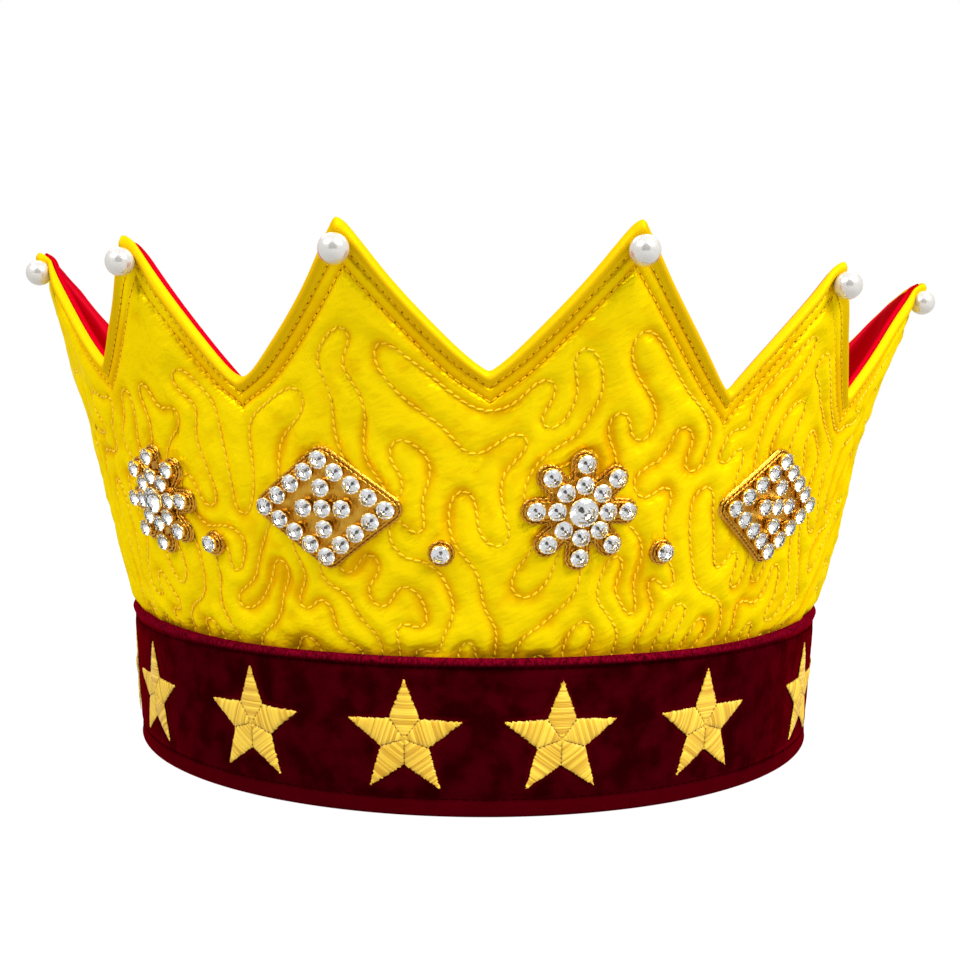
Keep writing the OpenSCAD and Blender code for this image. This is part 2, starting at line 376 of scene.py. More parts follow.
def push_apart(points, spacing):
    """How far each point is pushed by the points of other stretches that are too near."""
    x = points[:, 0] % UNROLLED
    order = np.argsort(x)
    x, y, near_by = x[order], points[order, 1], spacing[order]
    count, push = len(points), np.zeros((len(points), 2))
    for k in range(1, count // 2):
        dx = np.roll(x, -k) - x
        dx[dx < -UNROLLED / 2] += UNROLLED
        if dx.min() > near_by.max():
            break
        dy = np.roll(y, -k) - y
        apart = np.abs(np.roll(order, -k) - order)
        gap = np.hypot(dx, dy) + 1e-6
        limit = (near_by + np.roll(near_by, -k)) / 2
        force = np.where((gap < limit) & (np.minimum(apart, count - apart) > 1), 1 - gap / limit, 0.0)
        move = np.stack([force * dx / gap, force * dy / gap], axis=1)
        push += np.roll(move, k, axis=0) - move
    result = np.zeros_like(push)
    result[order] = push
    return result


# %% Let the line grow
def grow_line(rounds):
    """Points of the quilting line on the unrolled wall, in millimetres, after rounds of growing."""
    rng = np.random.default_rng(21)
    waves = np.stack([np.round(rng.uniform(-20, 20, 12)) / UNROLLED, rng.uniform(-1, 1, 12) / 24], axis=1)
    waves *= 2 * math.pi
    phases = rng.uniform(0, 2 * math.pi, 12)
    x = np.arange(0, UNROLLED - QUILT_LINK / 2, QUILT_LINK)
    turn = 2 * math.pi * x / UNROLLED
    points = np.stack([x, QUILT_START + 7 * np.sin(21 * turn) + 3 * np.sin(7 * turn + 1)], axis=1)
    for step in range(rounds):
        after, _ = neighbours(points)
        length = np.linalg.norm(after - points, axis=1)
        if step % 2 == 0:
            tall = at_angle(edge_z, points[:, 0] / UNROLLED * 360) / MM - QUILT_EDGE - QUILT_FOOT
            growing = rng.random(len(points)) < GROWTH * np.clip(tall / 48, 0.1, 1.3)
            split = (length > 1.4 * QUILT_LINK) | (growing & (length.sum() < QUILT_LENGTH))
            at = np.where(split)[0]
            points = np.insert(points, at + 1, (points[at] + after[at]) / 2, axis=0)
        after, before = neighbours(points)
        move = 0.3 * ((after + before) / 2 - points)
        for other in (after, before):
            pull = other - points
            length = np.linalg.norm(pull, axis=1, keepdims=True) + 1e-9
            move += 0.25 * pull / length * (length - QUILT_LINK)
        patches = np.sin(points @ waves.T + phases).sum(axis=1) / 2.4
        move += 0.42 * push_apart(points, QUILT_SPACING * (1 + 0.28 * np.clip(patches, -1, 1)))
        theta = points[:, 0] / UNROLLED * 360
        room = edge_distance(theta, points[:, 1] * MM) / MM
        press = np.clip(QUILT_EDGE - room, 0, 6) * 0.3 / at_angle(edge_stretch, theta)
        move += np.stack([press * at_angle(edge_slope, theta), -press], axis=1)
        move[:, 1] += np.clip(QUILT_FOOT - points[:, 1], 0, 6) * 0.4
        move += rng.normal(0, 0.12, move.shape)
        far = np.linalg.norm(move, axis=1, keepdims=True)
        points = points + move * np.minimum(1, LONGEST_MOVE / np.maximum(far, 1e-9))
    for _ in range(3):
        after, before = neighbours(points)
        points = points / 2 + (after + before) / 4
    return np.append(points, [points[0] + (UNROLLED, 0)], axis=0)


def stride(theta, z, pitch):
    """A line's points again, evenly spaced by about pitch along it."""
    points = place(theta, z, 0)
    length = np.concatenate([[0], np.cumsum(np.linalg.norm(np.diff(points, axis=0), axis=1))])
    count = max(2, round(length[-1] / pitch))
    at = np.linspace(0, length[-1], count + 1)
    return np.interp(at, length, theta), np.interp(at, length, z)


grown = grow_line(460)
quilt_knots = np.stack([grown[:, 0] / UNROLLED * 360, grown[:, 1] * MM], axis=1)
quilt_theta, quilt_z = stride(quilt_knots[:, 0], quilt_knots[:, 1], STITCH / 4)
print("quilting line, m:", round(len(quilt_theta) * STITCH / 4, 2))

# %% [markdown]
# How the satin swells between its stitches
#
# Each line of stitching pulls the satin down to its backing, and the wadding lifts it in between
# by about a millimetre. So the height of the satin follows the distance to the nearest stitch:
# steep beside the seam and nearly flat in the middle of a lobe. The wall's points look up that
# distance in a search tree of the quilting line's own points. Soft noise of three sizes is added,
# for wadding that lies unevenly, for the small folds that free-hand quilting leaves, and for crimp.
#
# The upper edge is different: there the satin is turned over a cord. It has a round lip, a seam
# 2.7 mm below the edge, a flat channel and a second seam at 5.2 mm, where the quilting begins.

# %% Keep the quilting line in a search tree
quilt_points = place(quilt_theta, quilt_z, 0)
quilt_tree = kdtree.KDTree(len(quilt_points))
for i, p in enumerate(quilt_points):
    quilt_tree.insert(p, i)
quilt_tree.balance()
print("points in the tree:", len(quilt_points))

# %% Where each sewn-on piece sits
NODE_CENTRES = {}
for piece in NODES:
    if piece.startswith(("pearl_", "motif_", "spacer_", "star_")) and not piece.startswith("spacer_stone"):
        NODE_CENTRES[piece] = sum(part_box(piece), Vector()) / 2
print("pieces sewn on:", len(NODE_CENTRES))


def polar_of(point):
    """Angle and height of a point."""
    theta = math.degrees(math.atan2(point.x - AXIS[0], -(point.y - AXIS[1])))
    return theta, point.z


# %% Measure the swelling
PUFF, PUFF_REACH = 1.15 * MM, 1.7 * MM
SINK = 0.55 * MM
WADDING, FOLD, CRIMP = 0.75 * MM, 0.6 * MM, 0.16 * MM
LIP_AT, LIP_WIDTH, LIP_RISE = 1.25 * MM, 1.0 * MM, 0.50
CHANNEL_AT, CHANNEL_WIDTH, CHANNEL_DEPTH = 3.95 * MM, 0.8 * MM, 0.22
QUILTED_FROM, QUILTED_FULL = 5.1 * MM, 8.6 * MM


def bell(distance, width):
    """1 at no distance, falling smoothly to nothing over about two widths."""
    return np.exp(-(distance / width) ** 2)


def swelling(theta, z):
    """Height of the satin over its plain wall, in metres, for arrays of places."""
    points = place(theta, z, 0).reshape(-1, 3)
    near = np.array([quilt_tree.find(p)[2] for p in points]).reshape(np.shape(theta))
    inset = edge_distance(theta, z)
    quilted = PUFF * (1 - np.exp(-(near / PUFF_REACH) ** 1.3)) - SINK
    uneven = WADDING * drift_noise(theta, z, 14 * MM, 5.0)
    folds = FOLD * (0.3 - np.abs(drift_noise(theta + z * 300, z * 0.7, 7.5 * MM, 31.0)))
    crimp = CRIMP * drift_noise(theta, z, 3.0 * MM, 9.0)
    body = quilted + uneven + folds + crimp
    pull = 0.5 + 0.5 * np.cos(2 * math.pi * edge_arc(theta) / STITCH)
    lip = LIP_RISE * bell(inset - LIP_AT, LIP_WIDTH) - CHANNEL_DEPTH * bell(inset - CHANNEL_AT, CHANNEL_WIDTH)
    outer_seam = (0.50 + 0.12 * pull) * bell(inset - SEAM_OUTER, 0.55 * MM)
    inner_seam = (0.55 + 0.15 * pull) * bell(inset - SEAM_INNER, 0.6 * MM)
    rim = (lip - outer_seam - inner_seam) * MM + 0.05 * MM * drift_noise(theta, z, 5 * MM, 2.0)
    return rim + share(inset, QUILTED_FROM, QUILTED_FULL) * (body + 0.12 * MM - rim)


edge_points = place(THETA, edge_z, 0)
edge_arcs = np.concatenate([[0], np.cumsum(np.linalg.norm(np.diff(edge_points, axis=0), axis=1))])


def edge_arc(theta):
    """Length along the upper edge from the front."""
    return np.interp(np.asarray(theta, float) % 360, THETA, edge_arcs)


# %% [markdown]
# Where the ornaments press the satin flat
#
# The pad of an ornament is sewn down and presses the wadding flat, so the ornaments' outlines are
# needed before the satin is made. A rosette's edge runs round its outer stones like petals, and a
# lozenge's runs straight between its corners. The distance to the nearest outline tells how much of
# the swelling is left.

# %% Outlines and stones of the ornaments
STONE_R = 2.0 * MM
HEART_R = 3.2 * MM
RIM_R = 2.95 * MM
LOZENGE = (14.2 * MM, 10.5 * MM)
RING_R, RAY_R, LOZENGE_HEART_R = 5.6 * MM, 10.1 * MM, 4.5 * MM


def rosette_reach(turn, inset=0.0):
    """Distance from a rosette's centre to its petalled outline."""
    turn = np.asarray(turn, float)
    off = np.abs((turn + math.pi / 8) % (math.pi / 4) - math.pi / 8)
    rim = RIM_R - inset
    cap = RAY_R * np.cos(off) + np.sqrt(np.clip(rim ** 2 - (RAY_R * np.sin(off)) ** 2, 0, None))
    side = rim / np.maximum(np.sin(off), 1e-6)
    petal = np.where(side * np.cos(off) > RAY_R, cap, side)
    return np.maximum(petal, RING_R + RIM_R - 0.6 * MM - inset)


def lozenge_reach(turn, inset=0.0):
    """Distance from a lozenge's centre to its rounded outline."""
    w, h = LOZENGE
    rim = RIM_R - inset
    edge = math.hypot(w, h)
    c, s = np.abs(np.cos(turn)), np.abs(np.sin(turn))
    straight = (w * h / edge + rim) / (c * h / edge + s * w / edge)
    along = (straight * s * h - straight * c * w + w * w) / edge
    right = w * c + np.sqrt(np.clip(rim ** 2 - (w * s) ** 2, 0, None))
    top = h * s + np.sqrt(np.clip(rim ** 2 - (h * c) ** 2, 0, None))
    return np.where(along < 0, right, np.where(along > edge, top, straight))


# %% Lay out the stones
def ring_of(radius, count):
    turns = [i * 2 * math.pi / count for i in range(count)]
    return [(radius * math.cos(turn), radius * math.sin(turn)) for turn in turns]


def rosette_stones():
    return [(0, 0, HEART_R)] + [(u, v, STONE_R) for u, v in ring_of(RING_R, 8) + ring_of(RAY_R, 8)]


def lozenge_stones():
    w, h = LOZENGE
    corners = [(w, 0), (0, h), (-w, 0), (0, -h)]
    sides = [(a[0] + (b[0] - a[0]) * k / 4, a[1] + (b[1] - a[1]) * k / 4)
             for a, b in zip(corners, corners[1:] + corners[:1]) for k in range(4)]
    return [(0, 0, STONE_R)] + [(u, v, STONE_R) for u, v in sides + ring_of(LOZENGE_HEART_R, 4)]


def ornament_clearance(theta, z):
    """Signed distance to the nearest ornament's outline, about, in metres: positive outside."""
    best = np.full(np.shape(theta), 1.0)
    for piece, centre in NODE_CENTRES.items():
        if not piece.startswith(("motif_", "spacer_")):
            continue
        theta_c, z_c = polar_of(centre)
        u = way_round(theta, theta_c, float(lookup_skin(theta_c, z_c)))
        v = z - z_c
        turn = np.arctan2(v, u)
        reach = RIM_R if piece.startswith("spacer_") else \
            rosette_reach(turn) if piece in ("motif_1", "motif_3") else lozenge_reach(turn)
        best = np.minimum(best, np.hypot(u, v) - reach)
    return best


# %% [markdown]
# The satin wall
#
# The satin is one padded strip, sewn wrong side out along its upper edge and turned, so it rolls
# over a cord and goes down inside, where the lining takes over. The ring of cloth follows the
# plain wall, plus the swelling. Its rows lie close together near the edge, where the seams are,
# and its columns are a third of a degree apart in front.

# %% Rows and columns of the satin
PEARL_R = 3.15 * MM
WALL_T = 1.7 * MM
ROLL = WALL_T / 2
WALL_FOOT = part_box("satin_wall")[0].z + 0.1 * MM
UNDER_BAND = 0.34
wall_theta = columns_round(0.34, 0.8)
rows_up = np.concatenate([np.linspace(0, UNDER_BAND, 5, endpoint=False),
                          np.linspace(UNDER_BAND, 1, 62, endpoint=False)])
near_edge = np.linspace(QUILT_EDGE, ROLL / MM + 0.15, 22) * MM


def outside_heights(theta):
    """Heights of the outer rows of one column: even up the wall, then set from the edge."""
    top = row_height(theta, near_edge[0])
    seen = BAND_TOP - 2 * MM
    hidden_rows = WALL_FOOT + rows_up / UNDER_BAND * (seen - WALL_FOOT)
    seen_rows = seen + (rows_up - UNDER_BAND) / (1 - UNDER_BAND) * (top - seen)
    return np.concatenate([np.where(rows_up < UNDER_BAND, hidden_rows, seen_rows), row_height(theta, near_edge)])


print("columns in the satin:", len(wall_theta))

# %% [markdown]
# How the points lean over their pearls
#
# The turned edge and the pearl's stitch draw the top of each point outward, so it hooks a little
# over its pearl, most on the outer points. Turning each tip as a stiff plate would leave a fold at
# its foot. Here the lean grows smoothly over the last 26 mm below the pearl and fades to both
# sides. The pearl's stitch pulls a dish into the satin behind it, and the bead itself lies free in
# that dish.

# %% Lean the points
TIP_LEAN = {"pearl_1": 1.5, "pearl_2": 1.2, "pearl_3": 0.4, "pearl_4": 0.4, "pearl_5": 1.5, "pearl_6": 1.9}
TIP_R = 118 * MM
LEAN_HEIGHT, LEAN_WIDTH = 26 * MM, 9 * MM
DISH_SHARE, DISH_WIDTH = 0.8, 4.5 * MM
TIP_RISE = 0.35


def tip_lean(theta, z):
    """How far the cloth of each point leans out of its plain wall, in metres."""
    total = np.zeros(np.shape(theta))
    for piece, lean in TIP_LEAN.items():
        theta_c, z_c = polar_of(NODE_CENTRES[piece])
        beside = bell(way_round(theta, theta_c, TIP_R), LEAN_WIDTH)
        total = total + lean * MM * share(z, z_c - LEAN_HEIGHT, z_c) * beside
    return total


def dished(lift, theta, z):
    """The satin's lift with a dish behind each pearl, deep enough for the bead."""
    for piece, lean in TIP_LEAN.items():
        centre = NODE_CENTRES[piece]
        theta_c, z_c = polar_of(centre)
        reach = math.hypot(centre.x - AXIS[0], centre.y - AXIS[1])
        away = np.hypot(way_round(theta, theta_c, reach), z - z_c)
        lift = lift - DISH_SHARE * lean * MM * bell(away, DISH_WIDTH)
        bead_back = np.sqrt(np.clip((PEARL_R + 0.1 * MM) ** 2 - away ** 2, 0, None))
        slope = (lookup_skin(theta_c, z_c + MM) - lookup_skin(theta_c, z_c - MM)) / (2 * MM)
        room = (reach - bead_back - lookup_skin(theta, z)) * math.sqrt(1 + slope ** 2)
        pressed = 1 - share(away, PEARL_R * 0.8, PEARL_R * 1.15)
        lift = lift + (np.minimum(lift, room) - lift) * pressed
    return lift


edge_z = edge_z + TIP_RISE * tip_lean(THETA, edge_z)
print("highest point of the edge, mm:", round(edge_z.max() / MM, 1))

# %% Lay out the satin's outer face
outer_z = np.array([outside_heights(t) for t in wall_theta])
outer_theta = np.repeat(wall_theta[:, None], outer_z.shape[1], axis=1)
outer_lift = swelling(outer_theta, outer_z)
flat = 1 - share(ornament_clearance(outer_theta, outer_z), 0.3 * MM, 2.6 * MM)
outer_lift += flat * (np.minimum(outer_lift, 0.05 * MM) - outer_lift) + tip_lean(outer_theta, outer_z)
outer_lift = dished(outer_lift, outer_theta, outer_z)
outer = place(outer_theta, outer_z, outer_lift)
print("swelling, mm:", round(outer_lift.min() / MM, 2), "to", round(outer_lift.max() / MM, 2))

# %% Roll the satin over its cord, and down inside
ROLL_HEIGHT = 1.12
edge_mid_z = row_height(wall_theta, ROLL)
edge_lean = tip_lean(wall_theta, edge_mid_z)
roll_mid = place(wall_theta, edge_mid_z, edge_lean - ROLL)
out_dir = (place(wall_theta, edge_mid_z, edge_lean) - roll_mid) / ROLL
lip_lift = (outer_lift[:, -1] - edge_lean)[:, None]
tall = ROLL * at_angle(edge_stretch, wall_theta)[:, None] * ROLL_HEIGHT
roll_rows = [roll_mid + out_dir * math.cos(turn) * (ROLL + lip_lift * max(0, math.cos(turn)))
             + np.array([0, 0, 1.0]) * math.sin(turn) * tall
             for turn in np.radians([20, 45, 70, 90, 110, 135, 160])]
inner_z = np.array([np.linspace(row_height(t, ROLL), WALL_FOOT, 9) for t in wall_theta])
inner_theta = np.repeat(wall_theta[:, None], 9, axis=1)
inner = place(inner_theta, inner_z, tip_lean(inner_theta, inner_z) - WALL_T)
satin_points = np.concatenate([outer, np.stack(roll_rows, axis=1), inner], axis=1)
satin = ring_of_cloth("yellow_satin", satin_points)
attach(satin, "root")
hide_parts("satin_wall")
print("satin triangles:", 2 * len(satin.data.polygons))


# %% [markdown]
# Small things in great number
#
# Stitches, needle holes, claws and stones are the same small shape many hundreds of times. One of
# each is made with an operator, and its points are then copied to every place at once with array
# arithmetic and joined in one mesh. That keeps a few thousand stitches to one object.

# %% Copy one small shape to many places
def shape_of(bm):
    """Points and faces of a small bmesh, which is then freed."""
    bm.verts.index_update()
    points = np.array([v.co[:] for v in bm.verts])
    faces = [[v.index for v in f.verts] for f in bm.faces]
    bm.free()
    return points, faces


def mesh_from(name, points, faces, smooth=True):
    mesh = bpy.data.meshes.new(name)
    mesh.from_pydata(points.tolist(), [], faces)
    return show(name, mesh, smooth)


def copies(shape, centres, along, out, sizes=None):
    """Points and faces of a shape at many centres, its X turned along and its Z turned out."""
    points, faces = shape
    centres, along, out = (np.asarray(a, float).reshape(-1, 3) for a in (centres, along, out))
    out = out / np.linalg.norm(out, axis=1, keepdims=True)
    along = along - out * np.sum(along * out, axis=1, keepdims=True)
    along = along / np.linalg.norm(along, axis=1, keepdims=True)
    across = np.cross(out, along)
    scale = np.ones(len(centres)) if sizes is None else np.asarray(sizes, float)
    local = points[None] * scale[:, None, None]
    all_points = centres[:, None] + local[..., :1] * along[:, None] + local[..., 1:2] * across[:, None] \
        + local[..., 2:] * out[:, None]
    all_faces = [[i + n * len(points) for i in f] for n in range(len(centres)) for f in faces]
    return all_points.reshape(-1, 3), all_faces


def joined(parts):
    """Several pairs of points and faces as one pair."""
    points, faces, count = [], [], 0
    for part_points, part_faces in parts:
        points.append(part_points)
        faces.extend([[i + count for i in f] for f in part_faces])
        count += len(part_points)
    return np.concatenate(points), faces


# %% [markdown]
# Stitches
#
# A machine stitch is a short dash of thread that dives into the cloth at both ends, and between two
# dashes the needle has left a hole. The dashes are small rounded rods and the holes small discs,
# painted dark as the shade in each hole.
# They are laid on the finished satin by sending a ray inward at each place, so none of them floats.
# The quilting's stitches lie a little askew to their line, as a free hand leaves them.

# %% One stitch, one hole, and a way to find the cloth
bm = bmesh.new()
bmesh.ops.create_uvsphere(bm, u_segments=6, v_segments=4, radius=0.5)
bmesh.ops.rotate(bm, verts=bm.verts, matrix=Matrix.Rotation(math.radians(90), 3, "Y"))
stitch_shape = shape_of(bm)
bm = bmesh.new()
bmesh.ops.create_circle(bm, cap_ends=True, segments=7, radius=0.5)
hole_shape = shape_of(bm)


def tree_of(obj):
    bm = bmesh.new()
    bm.from_mesh(obj.data)
    tree = BVHTree.FromBMesh(bm)
    bm.free()
    return tree


def on_cloth(tree, points, out):
    """The points moved square to the cloth until they lie on it."""
    result = []
    for p, n in zip(points, out):
        hit = tree.ray_cast(Vector(p + n * 3 * MM), Vector(-n), 8 * MM)
        result.append(np.array(hit[0]) if hit[0] is not None else p)
    return np.array(result)


# %% Sew along a line
def sew(tree, theta, z, pitch, width, hole, slant=0.0, radius=lookup_skin):
    """Stitches and needle holes along a line, given by angles and heights, on a cloth's tree."""
    theta, z = stride(theta, z, pitch / 2)
    points = place(theta, z, 0, radius)
    out = place(theta, z, MM, radius) - points
    out /= np.linalg.norm(out, axis=1, keepdims=True)
    points = on_cloth(tree, points, out)
    holes, mids = points[0::2], points[1::2]
    count = min(len(mids), len(holes) - 1)
    run = holes[1:count + 1] - holes[:count]
    length = np.linalg.norm(run, axis=1)
    run = run + slant * np.cross(out[1::2][:count], run)
    rod = stitch_shape[0] * np.array([(0.86 + 0.7 * slant) * pitch, width, width])
    up = out[1::2][:count]
    stretch = np.clip(length / pitch, 0.5, 1.1)
    dashes = copies((rod, stitch_shape[1]), mids[:count] + up * 0.05 * MM, run, up, stretch)
    pit = hole_shape[0] * hole
    pits = copies((pit, hole_shape[1]), holes + out[0::2] * 0.07 * MM, np.roll(out[0::2], 1, axis=1), out[0::2])
    return dashes, pits


satin_tree = tree_of(satin)
quilt_sewing = sew(satin_tree, quilt_knots[:, 0], quilt_knots[:, 1], STITCH, 0.56 * MM, 0.5 * MM, 0.2)
print("quilting stitches:", len(quilt_sewing[0][1]) // len(stitch_shape[1]))

# %% Sew the two rows below the edge
row_theta = np.append(THETA, 360.0) - 180


def edge_row(inset):
    return row_theta, row_height(row_theta, inset)


edge_sewing = [sew(satin_tree, *edge_row(inset), STITCH, 0.36 * MM, 0.38 * MM)
               for inset in (SEAM_OUTER, SEAM_INNER)]
quilt_thread = mesh_from("quilting_thread", *quilt_sewing[0])
edge_thread = mesh_from("edge_thread", *joined([edge_sewing[0][0], edge_sewing[1][0]]))
quilt_holes = mesh_from("quilting_holes", *quilt_sewing[1])
edge_holes = mesh_from("edge_holes", *joined([edge_sewing[0][1], edge_sewing[1][1]]))
for piece in (quilt_thread, edge_thread, quilt_holes, edge_holes):
    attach(piece, "root")
print("stitches in each row below the edge:", len(edge_sewing[0][0][1]) // len(stitch_shape[1]))

# %% [markdown]
# The red lining
#
# The lining is plain red satin on a stiff base. It runs from the hem to the upper edge just inside
# the yellow satin, and where the edge was turned loosely it shows as a thin red line beside the
# yellow lip. It is drawn tight, so it carries only long, shallow waves. On the two outer points it
# was folded once, and a straight crease runs down and back from each tip. The cloth behind the
# crease is painted lighter and the cloth before it darker, as painted light and shade for the way
# each side faces the light.

# %% Waves and creases of the lining
LINING_GAP = 0.15 * MM
LINING_T = 1.35 * MM
LINING_ROLL = LINING_T / 2
CREASES = ((-74, 129 * MM), (72, 125.5 * MM))
CREASE_FADE = (78 * MM, 100 * MM)
CREASE_BEND = 5.2
WIDE_WAVE, SMALL_WAVE, RIDGE, RIDGE_WIDTH = 0.75 * MM, 0.22 * MM, 0.5 * MM, 3.5
lining_theta = columns_round(0.5, 0.8)


def beside_crease(theta, z, start, top):
    """Distance in mm behind the crease that runs down and back from an outer point."""
    line = start + math.copysign(CREASE_BEND, start) * np.sqrt(np.clip((top - z) / MM, 0, None))
    return (signed(theta) - line) * math.copysign(1, start) * math.radians(TIP_R / MM)


def lining_wave(theta, z):
    """Shallow waves of the lining's inner face, in metres: always towards the middle or flat."""
    wide = drift_noise(theta, z * 0.6, 22 * MM, 21.0)
    small = drift_noise(theta, z * 0.35, 7 * MM, 27.0)
    ridge = sum(bell(beside_crease(theta, z, start, top), RIDGE_WIDTH) for start, top in CREASES)
    return WIDE_WAVE * wide + SMALL_WAVE * small - RIDGE * ridge * share(z, *CREASE_FADE)


def between(turned, start, full, fading, end):
    """Rises from 0 at start to 1 at full, and falls again from fading to end."""
    return share(turned, start, full) * (1 - share(turned, fading, end))


# %% How much of the lining's edge shows
turned = signed(lining_theta)
shown = between(turned, -41, -37, -30, -26) + 0.4 * between(turned, 27, 30, 40, 43) \
    + 0.9 * between(turned, -68, -64, -54, -52.5) + 0.9 * between(turned, 53.2, 55, 68, 72)
hidden = between(turned, -112, -100, -72, -66)
lining_drop = LINING_ROLL + 1.3 * MM - 1.2 * MM * shown - 1.9 * MM * hidden
print("lining's edge below the satin's, mm:",
      round(lining_drop.min() / MM, 2), "to", round(lining_drop.max() / MM, 2))

# %% Make the lining
top_z = row_height(lining_theta, lining_drop)
outer_z = np.array([np.linspace(WALL_FOOT, t, 12) for t in top_z])
inner_z = top_z[:, None] + (WALL_FOOT - top_z)[:, None] * np.linspace(0, 1, 50) ** 1.5
outer_theta = np.repeat(lining_theta[:, None], outer_z.shape[1], axis=1)
inner_theta = np.repeat(lining_theta[:, None], inner_z.shape[1], axis=1)
inset = WALL_T + LINING_GAP
below = edge_distance(inner_theta, inner_z)
fade = share(below, 1 * MM, 8 * MM)
thin = 0.55 * (1 - share(below, 1.5 * MM, 6 * MM)) * (1 - shown[:, None])
lining_outer = place(outer_theta, outer_z, tip_lean(outer_theta, outer_z) - inset)
lining_inner = place(inner_theta, inner_z, tip_lean(inner_theta, inner_z) - inset - LINING_T * (1 - thin)
                     - 0.35 * MM * fade + lining_wave(inner_theta, inner_z) * fade)
half = LINING_ROLL * (1 - 0.55 * (1 - shown))
top_lift = tip_lean(lining_theta, top_z) - inset
top_mid = place(lining_theta, top_z, top_lift - half)
top_out = place(lining_theta, top_z, top_lift) - top_mid
tall = half[:, None] * at_angle(edge_stretch, lining_theta)[:, None]
lining_top = [top_mid + top_out * math.cos(turn) + np.array([0, 0, 1.0]) * math.sin(turn) * tall
              for turn in np.radians([30, 60, 90, 120, 150])]
lining_points = np.concatenate([lining_outer, np.stack(lining_top, axis=1), lining_inner], axis=1)
lining = ring_of_cloth("red_satin", lining_points)
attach(lining, "root")
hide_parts("red_lining")
print("lining triangles:", 2 * len(lining.data.polygons))

# %% [markdown]
# The velvet band
#
# The band is a strip of velvet folded round a stiff base. Its upper edge is rolled over a cord and
# its lower edge folds in under the crown, which stands on it. A row of dark red stitches follows
# each fold a little way in. The strip is close to flat: a hand would feel gentle dents. Between the
# sides the rolled top sags a little below its seam's height, as the photo shows in front.
#
# The band's section is drawn once, as a closed line of radius and height, and is carried round.

# %% Draw the band's section
BAND_FOOT_R = 97.0 * MM
BAND_INSIDE_R = 97.15 * MM
HEM_R, HEM_INSIDE_R = 95.3 * MM, 92.0 * MM
BAND_H = BAND_TOP - 1.25 * MM
BAND_FLARE = 2.3 * MM
BAND_ROLL = 1.25 * MM
BAND_FOLD = 0.95 * MM
TURNED_IN = 1.6 * MM
ROLL_POINTS = 13
STAR_R = 13.5 * MM
STAR_WAIST = 0.42


def band_radius(theta, z):
    return BAND_FOOT_R + BAND_FLARE * np.asarray(z, float) / BAND_H + 0 * np.asarray(theta, float)


def arc(centre_r, centre_z, radius, start, end, count):
    turn = np.radians(np.linspace(start, end, count))
    return [(centre_r + radius * math.cos(a), centre_z + radius * math.sin(a)) for a in turn]


profile = arc(BAND_FOOT_R - BAND_FOLD + 0.25 * MM, BAND_FOLD, BAND_FOLD, -90, -10, 7)
FACE_FIRST = len(profile)
profile += [(float(band_radius(0, z)), z) for z in np.linspace(1.6 * MM, BAND_H - 1.1 * MM, 40)]
FACE_LAST = len(profile)
profile += arc(BAND_INSIDE_R + BAND_ROLL, BAND_H, BAND_ROLL, -25, 180, ROLL_POINTS)
profile += [(BAND_INSIDE_R - k * 0.32 * MM, BAND_H - k * 5.8 * MM) for k in range(1, 6)]
profile += [(HEM_R, TURNED_IN), (HEM_INSIDE_R, TURNED_IN), (HEM_INSIDE_R, 0.0)]
profile = np.array(profile)
print("points in the band's section:", len(profile))

# %% Find the stars' outlines
STAR_WALL_R = 98.2 * MM
star_places = []
for piece in sorted(NODE_CENTRES):
    if piece.startswith("star_"):
        theta_c, _ = polar_of(NODE_CENTRES[piece])
        star_places.append((piece, theta_c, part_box(piece)[1].z - STAR_R))
print("stars:", len(star_places))


def star_reach(turn):
    """Distance from a star's centre to its outline in a direction, in radians from straight up."""
    fold = np.abs((turn + math.pi / 5) % (2 * math.pi / 5) - math.pi / 5)
    waist = STAR_R * STAR_WAIST
    tip = np.array([STAR_R, 0.0])
    corner = waist * np.array([math.cos(math.pi / 5), math.sin(math.pi / 5)])
    run = corner - tip
    return (tip[0] * run[1] - tip[1] * run[0]) / (np.cos(fold) * run[1] - np.sin(fold) * run[0])


def star_clearance(theta, z):
    """Signed distance to the nearest star's outline, about, in metres: positive outside."""
    best = np.full(np.shape(theta), 1.0)
    for _, theta_c, z_c in star_places:
        u = way_round(theta, theta_c, STAR_WALL_R)
        v = z - z_c
        best = np.minimum(best, np.hypot(u, v) - star_reach(np.arctan2(u, v)))
    return best


# %% Make the velvet band
BAND_SAG = 1.45 * MM
SEAM_DEPTH, SEAM_WIDTH = 0.4 * MM, 0.8 * MM
seam_top, seam_low = BAND_H - 2.6 * MM, 4.1 * MM


def band_sag(theta):
    """How far the rolled top lies below its solid's: most in front, nothing at the sides and behind."""
    return BAND_SAG * (1 - share(np.abs(signed(theta)), 30, 72))


band_theta = np.arange(0, 360, 0.5)
theta_grid = np.repeat(band_theta[:, None], len(profile), axis=1)
r_grid, z_grid = (np.tile(profile[:, k], (len(band_theta), 1)) for k in (0, 1))
on_face, on_roll = np.zeros(len(profile)), np.zeros(len(profile))
on_face[FACE_FIRST:FACE_LAST] = 1
on_roll[FACE_LAST:FACE_LAST + ROLL_POINTS] = 1
dents = 0.22 * MM * drift_noise(theta_grid, z_grid, 17 * MM, 31.0) \
    + 0.10 * MM * drift_noise(theta_grid, z_grid, 5 * MM, 33.0)
seams = sum(bell(z_grid - height, SEAM_WIDTH) for height in (seam_top, seam_low))
puff = 0.18 * MM * share(star_clearance(theta_grid, z_grid), 0, 3 * MM)
r_grid += on_face * (dents - SEAM_DEPTH * seams + puff - 0.25 * MM)
r_grid += on_roll * 0.10 * MM * drift_noise(theta_grid, z_grid, 6 * MM, 35.0)
above_seam = share(z_grid, seam_top + 0.3 * MM, BAND_H) * (r_grid > BAND_INSIDE_R - 0.25 * MM)
z_grid -= band_sag(theta_grid) * above_seam
a = np.radians(theta_grid)
band_points = np.stack([AXIS[0] + r_grid * np.sin(a), AXIS[1] - r_grid * np.cos(a), z_grid], axis=-1)
band = ring_of_cloth("velvet", band_points)
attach(band, "root")
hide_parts("velvet_band")
